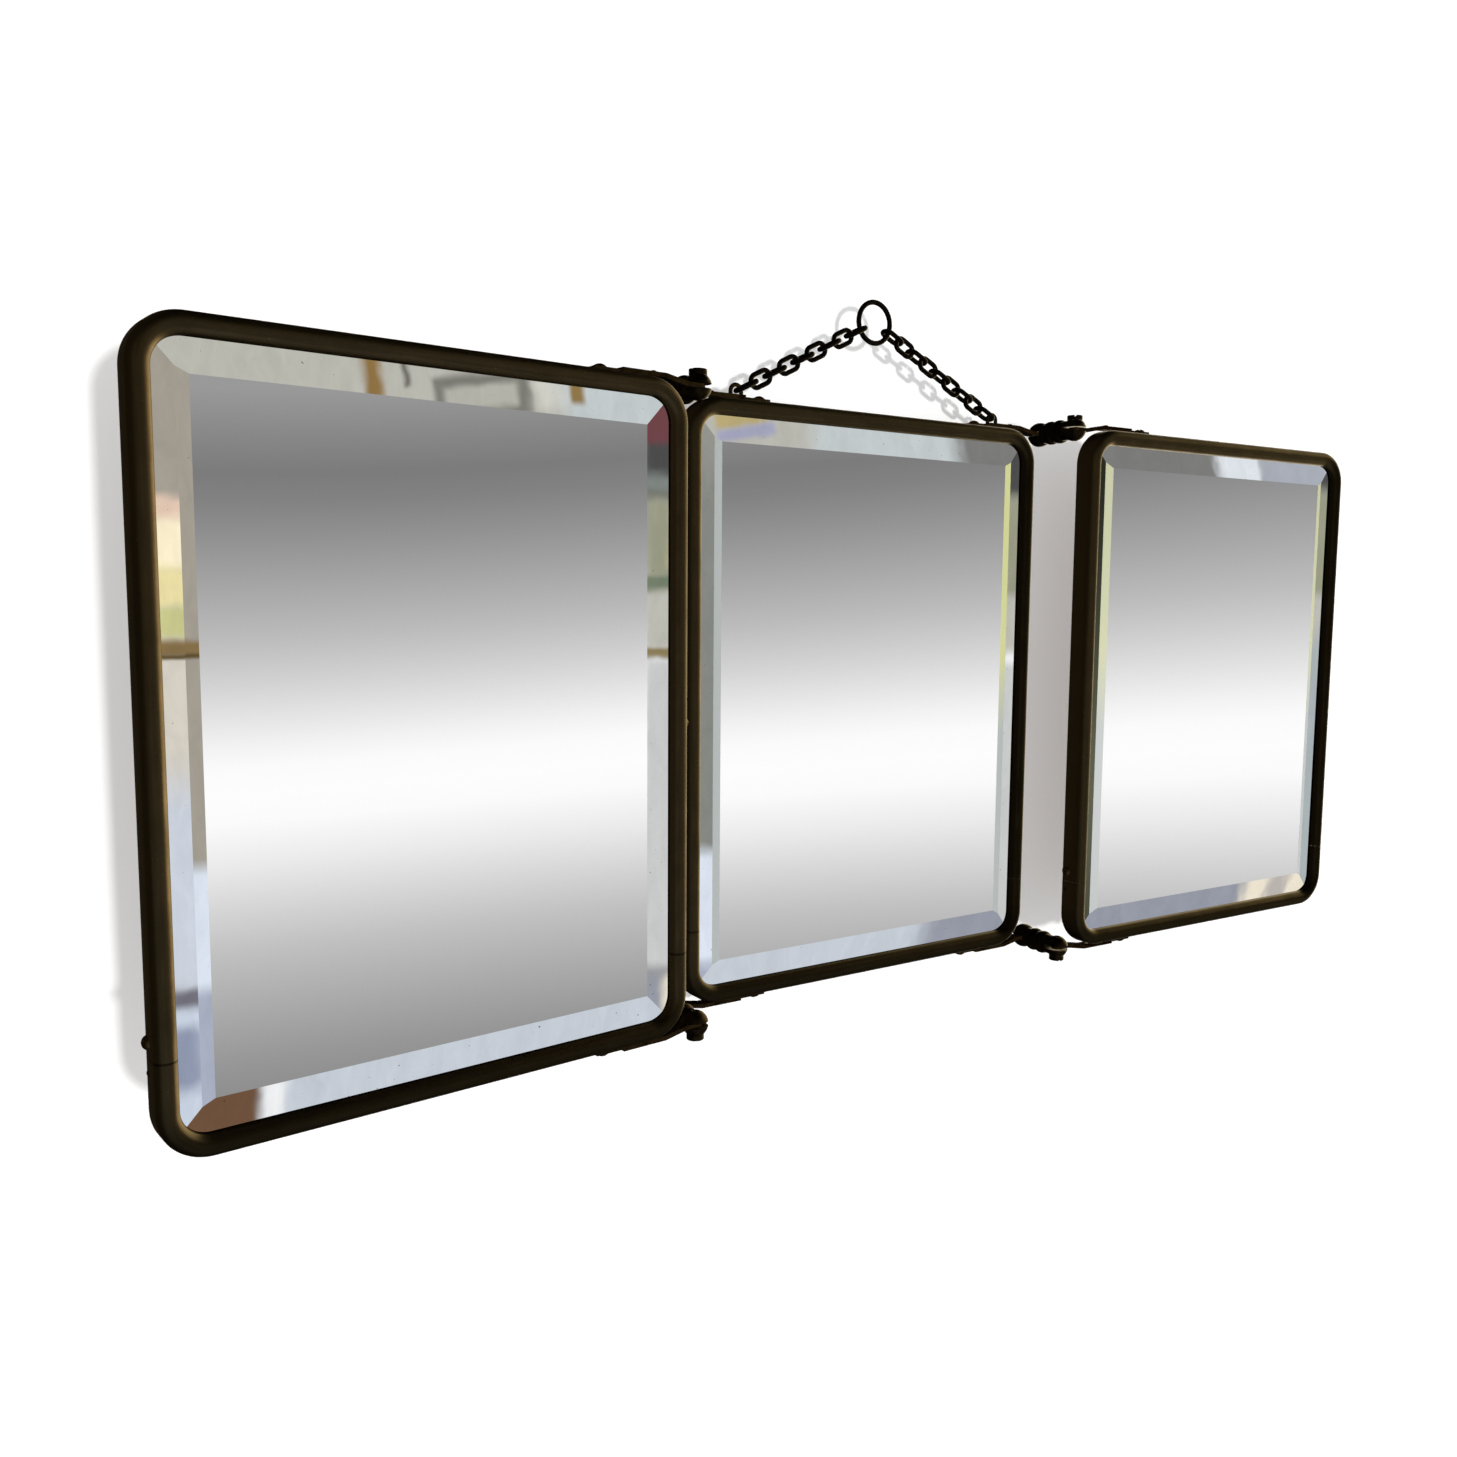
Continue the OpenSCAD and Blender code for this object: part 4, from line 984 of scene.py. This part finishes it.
# %% The heads
def turned_head(name, profile, slot_w=0.0, slot_depth=0.0, steps=40):
    """A head turned about z from (radius, height) pairs, with a driver slot if it has a width."""
    shell = bmesh.new()
    rings = []
    for radius, height in profile:
        if radius < 1e-7:
            rings.append([shell.verts.new((0, 0, height))])
        else:
            rings.append([shell.verts.new((radius * math.cos(2 * math.pi * i / steps),
                                           radius * math.sin(2 * math.pi * i / steps), height))
                          for i in range(steps)])
    for lower, upper in zip(rings, rings[1:]):
        for i in range(steps):
            j = (i + 1) % steps
            if len(lower) == 1:
                shell.faces.new((lower[0], upper[i], upper[j]))
            elif len(upper) == 1:
                shell.faces.new((lower[i], lower[j], upper[0]))
            else:
                shell.faces.new((lower[i], lower[j], upper[j], upper[i]))
    bmesh.ops.recalc_face_normals(shell, faces=shell.faces)
    head = new_object(name, mesh_from(shell, name))
    if slot_w:
        top = max(height for _, height in profile)
        width = max(radius for radius, _ in profile) * 2.4
        x, y, z = slot_w / 2, width / 2, top - slot_depth
        cutter = helper_object("slot_cutter", [
            (sx * x, sy * y, z + dz) for dz in (0, 2 * slot_depth)
            for sx, sy in ((-1, -1), (1, -1), (1, 1), (-1, 1))],
            (), [(3, 2, 1, 0), (4, 5, 6, 7), (0, 1, 5, 4), (1, 2, 6, 5), (2, 3, 7, 6), (3, 0, 4, 7)])
        cut = head.modifiers.new("slot", "BOOLEAN")
        cut.object = cutter
        cut.solver = "EXACT"
        head = new_object(name, final_mesh(head))
        bpy.data.objects.remove(cutter)
    soften = head.modifiers.new("soft_edge", "BEVEL")
    soften.width = 0.12 * MM
    soften.segments = 2
    soften.angle_limit = math.radians(40)
    head = new_object(name, close_up(final_mesh(head), 35))
    head.hide_render = True
    return head


def dome_profile(diameter, rise, sunk, steps=8):
    """A low dome on a short shank that reaches down into its seat."""
    ball = (diameter ** 2 / 4 + rise ** 2) / (2 * rise)
    reach = math.asin(diameter / 2 / ball)
    arc = [(ball * math.sin(reach * (1 - i / steps)), rise - ball + ball * math.cos(reach * (1 - i / steps)))
           for i in range(steps)]
    return [(0, -sunk), (1.2 * MM, -sunk), (1.2 * MM, 0)] + arc + [(0, rise)]


joint_screw = turned_head("joint_screw", dome_profile(6 * MM, 2.2 * MM, 2 * MM), 0.9 * MM, 0.8 * MM)
joint_rivet = turned_head("joint_rivet", dome_profile(2.8 * MM, 0.7 * MM, 2 * MM))
strap_screw = turned_head("strap_screw", dome_profile(7 * MM, 1.8 * MM, 2 * MM), 0.9 * MM, 0.8 * MM)
strap_rivet = turned_head("strap_rivet", dome_profile(4.4 * MM, 1.1 * MM, 2 * MM))
# A cheese head 9 mm wide on a 3.5 mm shank, which sits in a ball of 13.6 mm.
pivot_screw = turned_head("pivot_screw", [
    (0, -5 * MM), (1.75 * MM, -5 * MM), (1.75 * MM, -1 * MM), (4.5 * MM, -1 * MM), (4.5 * MM, 1.5 * MM),
    (4.2 * MM, 1.8 * MM), (0, 1.8 * MM)], 1.2 * MM, 1.0 * MM)
BALL_SEAT = math.sqrt(13.6 ** 2 / 4 - 9 ** 2 / 16) * MM
# A pin filed off flush with the ball, whose end is part of a 14.6 mm sphere.
CAP_R = 7.3 * MM
pin_cap = [(CAP_R * math.sin(math.radians(a)), CAP_R * math.cos(math.radians(a))) for a in (14, 10, 7, 3)]
flush_pin = turned_head("flush_pin", [(0, 3 * MM), (1.78 * MM, 3 * MM), (1.79 * MM, pin_cap[0][1])]
                        + pin_cap[1:] + [(0, 7.32 * MM)])
turned = (joint_screw, joint_rivet, strap_screw, strap_rivet, pivot_screw, flush_pin)
print("heads:", {head.name: len(head.data.polygons) for head in turned})

# %% Setting them on their seats
seating, given = new_tree("seated_heads", [
    ("Head", "NodeSocketObject", None), ("Seed", "NodeSocketInt", 3), ("Finish", "NodeSocketMaterial", None)])
outward = add_node(seating, "GeometryNodeInputNamedAttribute", {"data_type": "FLOAT_VECTOR"}, {
    "Name": "outward"}).outputs[0]
facing = add_node(seating, "FunctionNodeAlignRotationToVector", {"axis": "Z"}, {"Vector": outward}).outputs[0]
chance = add_node(seating, "FunctionNodeRandomValue", {"data_type": "FLOAT"}, {
    2: 0.0, 3: math.pi, "Seed": given["Seed"]}).outputs[1]
spin = add_node(seating, "FunctionNodeAxisAngleToRotation", (), {"Axis": (0, 0, 1), "Angle": chance}).outputs[0]
spun = add_node(seating, "FunctionNodeRotateRotation", {"rotation_space": "LOCAL"}, {
    "Rotation": facing, "Rotate By": spin}).outputs[0]
drawn = add_node(seating, "GeometryNodeObjectInfo", (), {"Object": given["Head"]}).outputs["Geometry"]
set_down = add_node(seating, "GeometryNodeInstanceOnPoints", (), {
    "Points": given["Geometry"], "Instance": drawn, "Rotation": spun}).outputs[0]
end_tree(seating, set_down, given["Finish"])


def heads(head, seats, place, seed, material):
    """One head on each seat (point, outward direction), put where the panel is."""
    maker = helper_object("seats", [point for point, _ in seats])
    directions = maker.data.attributes.new("outward", "FLOAT_VECTOR", "POINT")
    directions.data.foreach_set("vector", [c for _, direction in seats for c in direction])
    mesh = run_tree(maker, seating, {"Head": head, "Seed": seed, "Finish": material})
    mesh.transform(place)
    return mesh


def joined(meshes):
    """Several meshes as one."""
    shell = bmesh.new()
    for mesh in meshes:
        shell.from_mesh(mesh)
    return mesh_from(shell, "joined")


JOINT_Y, SCREW_UP, RIVET_DOWN = -4.4 * MM, 6.5 * MM, 5.5 * MM      # from the wall side, and from the seam
TAIL_IN, THICK_IN = 56.5 * MM, 26.5 * MM      # strap screw and strap rivet, from the hinge
TAIL_T, THICK_T = 1.1 * MM, 2.2 * MM          # how thick the strap is under each
STRAP_SIDES = {"centre": (-1, 1), "left": (1,), "right": (-1,)}
for number, (panel, (place, body)) in enumerate(PANELS.items()):
    screws, rivets = ([((s * PANEL_W / 2, JOINT_Y, z), (s, 0, 0)) for s in (-1, 1)]
                      for z in (SEAM_Z + SCREW_UP, SEAM_Z - RIVET_DOWN))
    mesh = joined([heads(joint_screw, screws, place, number, screw_brass),
                   heads(joint_rivet, rivets, place, number, screw_brass)])
    as_piece(f"{panel}_joint_heads", close_up(mesh, 35), body, screw_brass,
             [f"{panel}_joint_screws"])
    tails, thick = ([((s * (HINGE_X - inward), MID_Y, u * (PANEL_H / 2 + strap_t)), (0, 0, u))
                     for s in STRAP_SIDES[panel] for u in (1, -1)]
                    for inward, strap_t in ((TAIL_IN, TAIL_T), (THICK_IN, THICK_T)))
    mesh = joined([heads(strap_screw, tails, place, number + 5, screw_brass),
                   heads(strap_rivet, thick, place, number + 5, screw_brass)])
    as_piece(f"{panel}_strap_heads", close_up(mesh, 35), body, screw_brass,
             [f"{panel}_strap_screws"])

for side, name in ((-1, "left"), (1, "right")):
    outer = pivot(side, LINK_ANGLES[name])
    seats = [((outer.x, outer.y, u * (HINGE_Z + BALL_SEAT)), (0, 0, u)) for u in (1, -1)]
    mesh = heads(pivot_screw, seats, Matrix.Identity(4), 11 + side, link_bronze)
    as_piece(f"{name}_pivot_screws", close_up(mesh, 35), f"{name}_link", link_bronze,
             [f"{name}_outer_screws"])
    seats = [((side * HINGE_X, MID_Y, u * HINGE_Z), (0, 0, u * up_down))
             for u in (1, -1) for up_down in (1, -1)]
    mesh = heads(flush_pin, seats, Matrix.Identity(4), 2, link_bronze)
    as_piece(f"{name}_pivot_pins", close_up(mesh, 35), f"{name}_link", link_bronze,
             [f"{name}_inner_pins"])
print("heads are on their seats")

# %% [markdown]
# ## Straps, links and the catch
# These are solid pieces whose measured shape is already right, but a machine's knife edges would give them away as
# drawings. Each is a copy of the measured mesh: its doubles are merged, its flat faces made whole again, and a
# small rounding is put on every edge, because that is where old metal catches the light. Straps get a wider
# rounding than turned bronze, as they were filed by hand.

# %% Softened copies of the measured solids
def softened_copy(node, name, body, material, edge_mm):
    """The measured node with rounded edges, as its own piece."""
    shell = bmesh.new()
    shell.from_mesh(frame["nodes"][node].data)
    bmesh.ops.remove_doubles(shell, verts=shell.verts, dist=0.01 * MM)
    bmesh.ops.dissolve_limit(shell, angle_limit=math.radians(1), verts=shell.verts, edges=shell.edges)
    maker = new_object(name, mesh_from(shell, name))
    rounding = maker.modifiers.new("rounding", "BEVEL")
    rounding.width = edge_mm * MM
    rounding.segments = 2
    rounding.angle_limit = math.radians(32)
    mesh = final_mesh(maker)
    mesh.shade_smooth()
    mesh.set_sharp_from_angle(angle=math.radians(40))
    return as_piece(name, mesh, body, material, [node])


SOFTENED = [(f"{panel}_strap_{rest}", body, "strap_brass", strap_brass, 0.35)
            for panel, body, rests in (
                ("centre", "centre_panel", ("top_left", "top_right", "bottom_left", "bottom_right")),
                ("left", "left_wing", ("top", "bottom")), ("right", "right_wing", ("top", "bottom")))
            for rest in rests]
SOFTENED += [(f"{side}_link_{end}", f"{side}_link", "link_bronze", link_bronze, 0.2)
             for side in ("left", "right") for end in ("top", "bottom")]
SOFTENED += [("chain_eyes", "centre_panel", "strap_brass", strap_brass, 0.1),
             ("catch_stud", "left_wing", "bright_brass", bright_brass, 0.2),
             ("catch_pivot", "right_wing", "screw_brass", screw_brass, 0.2),
             ("catch_hook", "hook", "screw_brass", screw_brass, 0.2)]
for node, body, slot, material, edge_mm in SOFTENED:
    piece = softened_copy(node, node + "_worn", body, material, edge_mm)
    print(piece.name, len(piece.data.polygons), "faces")

# %% [markdown]
# ## The back
# Behind each glass is a thin board with a raised field, held by the moulding's flange. The boards and the brass
# tongues inside the moulding joints keep their measured meshes, and only get their finishes. The wood is old
# stained softwood: upright grain lines a few millimetres apart, dark in the pores.

# %% Old stained board
def board_finish():
    """Stained softwood: long upright grain, dull, with a little dirt."""
    material, tree, coords = new_material("old_stained_softwood")
    upright = add_node(tree, "ShaderNodeMapping", (), {"Vector": coords, "Scale": (1.0, 1.0, 0.06)}).outputs[0]
    grain = add_node(tree, "ShaderNodeTexNoise", (), {
        "Vector": upright, "Scale": per_metre(4), "Detail": 6.0, "Roughness": 0.65,
        "Distortion": 0.4}).outputs["Fac"]
    rings = add_node(tree, "ShaderNodeTexWave", {"wave_type": "BANDS", "bands_direction": "X"}, {
        "Vector": upright, "Scale": per_metre(60), "Distortion": 6.0, "Detail": 3.0}).outputs["Fac"]
    both = calc(tree, "MULTIPLY_ADD", rings, 0.35, grain)
    fade = add_node(tree, "ShaderNodeMapRange", (), {
        "Value": both, "From Min": 0.35, "From Max": 0.95}).outputs[0]
    colour = blend(tree, fade, linear("#4a3320"), linear("#86623d"))
    # Dirt in patches of some 45 mm, half covering the wood.
    colour = with_spots(tree, colour, coords, 45, "#2e2317", 0.45, 0.8, detail=4.0, roughness=0.5, most=0.5)
    rough = add_node(tree, "ShaderNodeMapRange", (), {
        "Value": grain, "From Min": 0.3, "From Max": 0.7, "To Min": 0.75, "To Max": 0.6}).outputs[0]
    relief = add_node(tree, "ShaderNodeBump", (), {
        "Height": grain, "Strength": 1.0, "Distance": 0.15 * MM}).outputs[0]
    shader = add_node(tree, "ShaderNodeBsdfPrincipled", (), {
        "Base Color": colour, "Roughness": rough, "Normal": relief}).outputs[0]
    add_node(tree, "ShaderNodeOutputMaterial", (), {0: shader})
    return material


old_wood = board_finish()
for panel in PANELS:
    for node, material in ((f"{panel}_board", old_wood), (f"{panel}_tongues", bright_brass)):
        frame["nodes"][node].visible_glossy = False
        mesh = frame["nodes"][node].data
        for i in range(len(mesh.materials)):
            mesh.materials[i] = material
print("boards and tongues have their finishes")

# %% Clear away and finish
for helper in [o for o in bpy.data.objects if o.hide_render and o.parent is None]:
    if helper.type == "MESH":
        bpy.data.objects.remove(helper)
model_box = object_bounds()
for label, box in (("measured", cad_box), ("shown", model_box)):
    print(label, "box in mm:", [[round(c * 1000, 2) for c in corner] for corner in box])
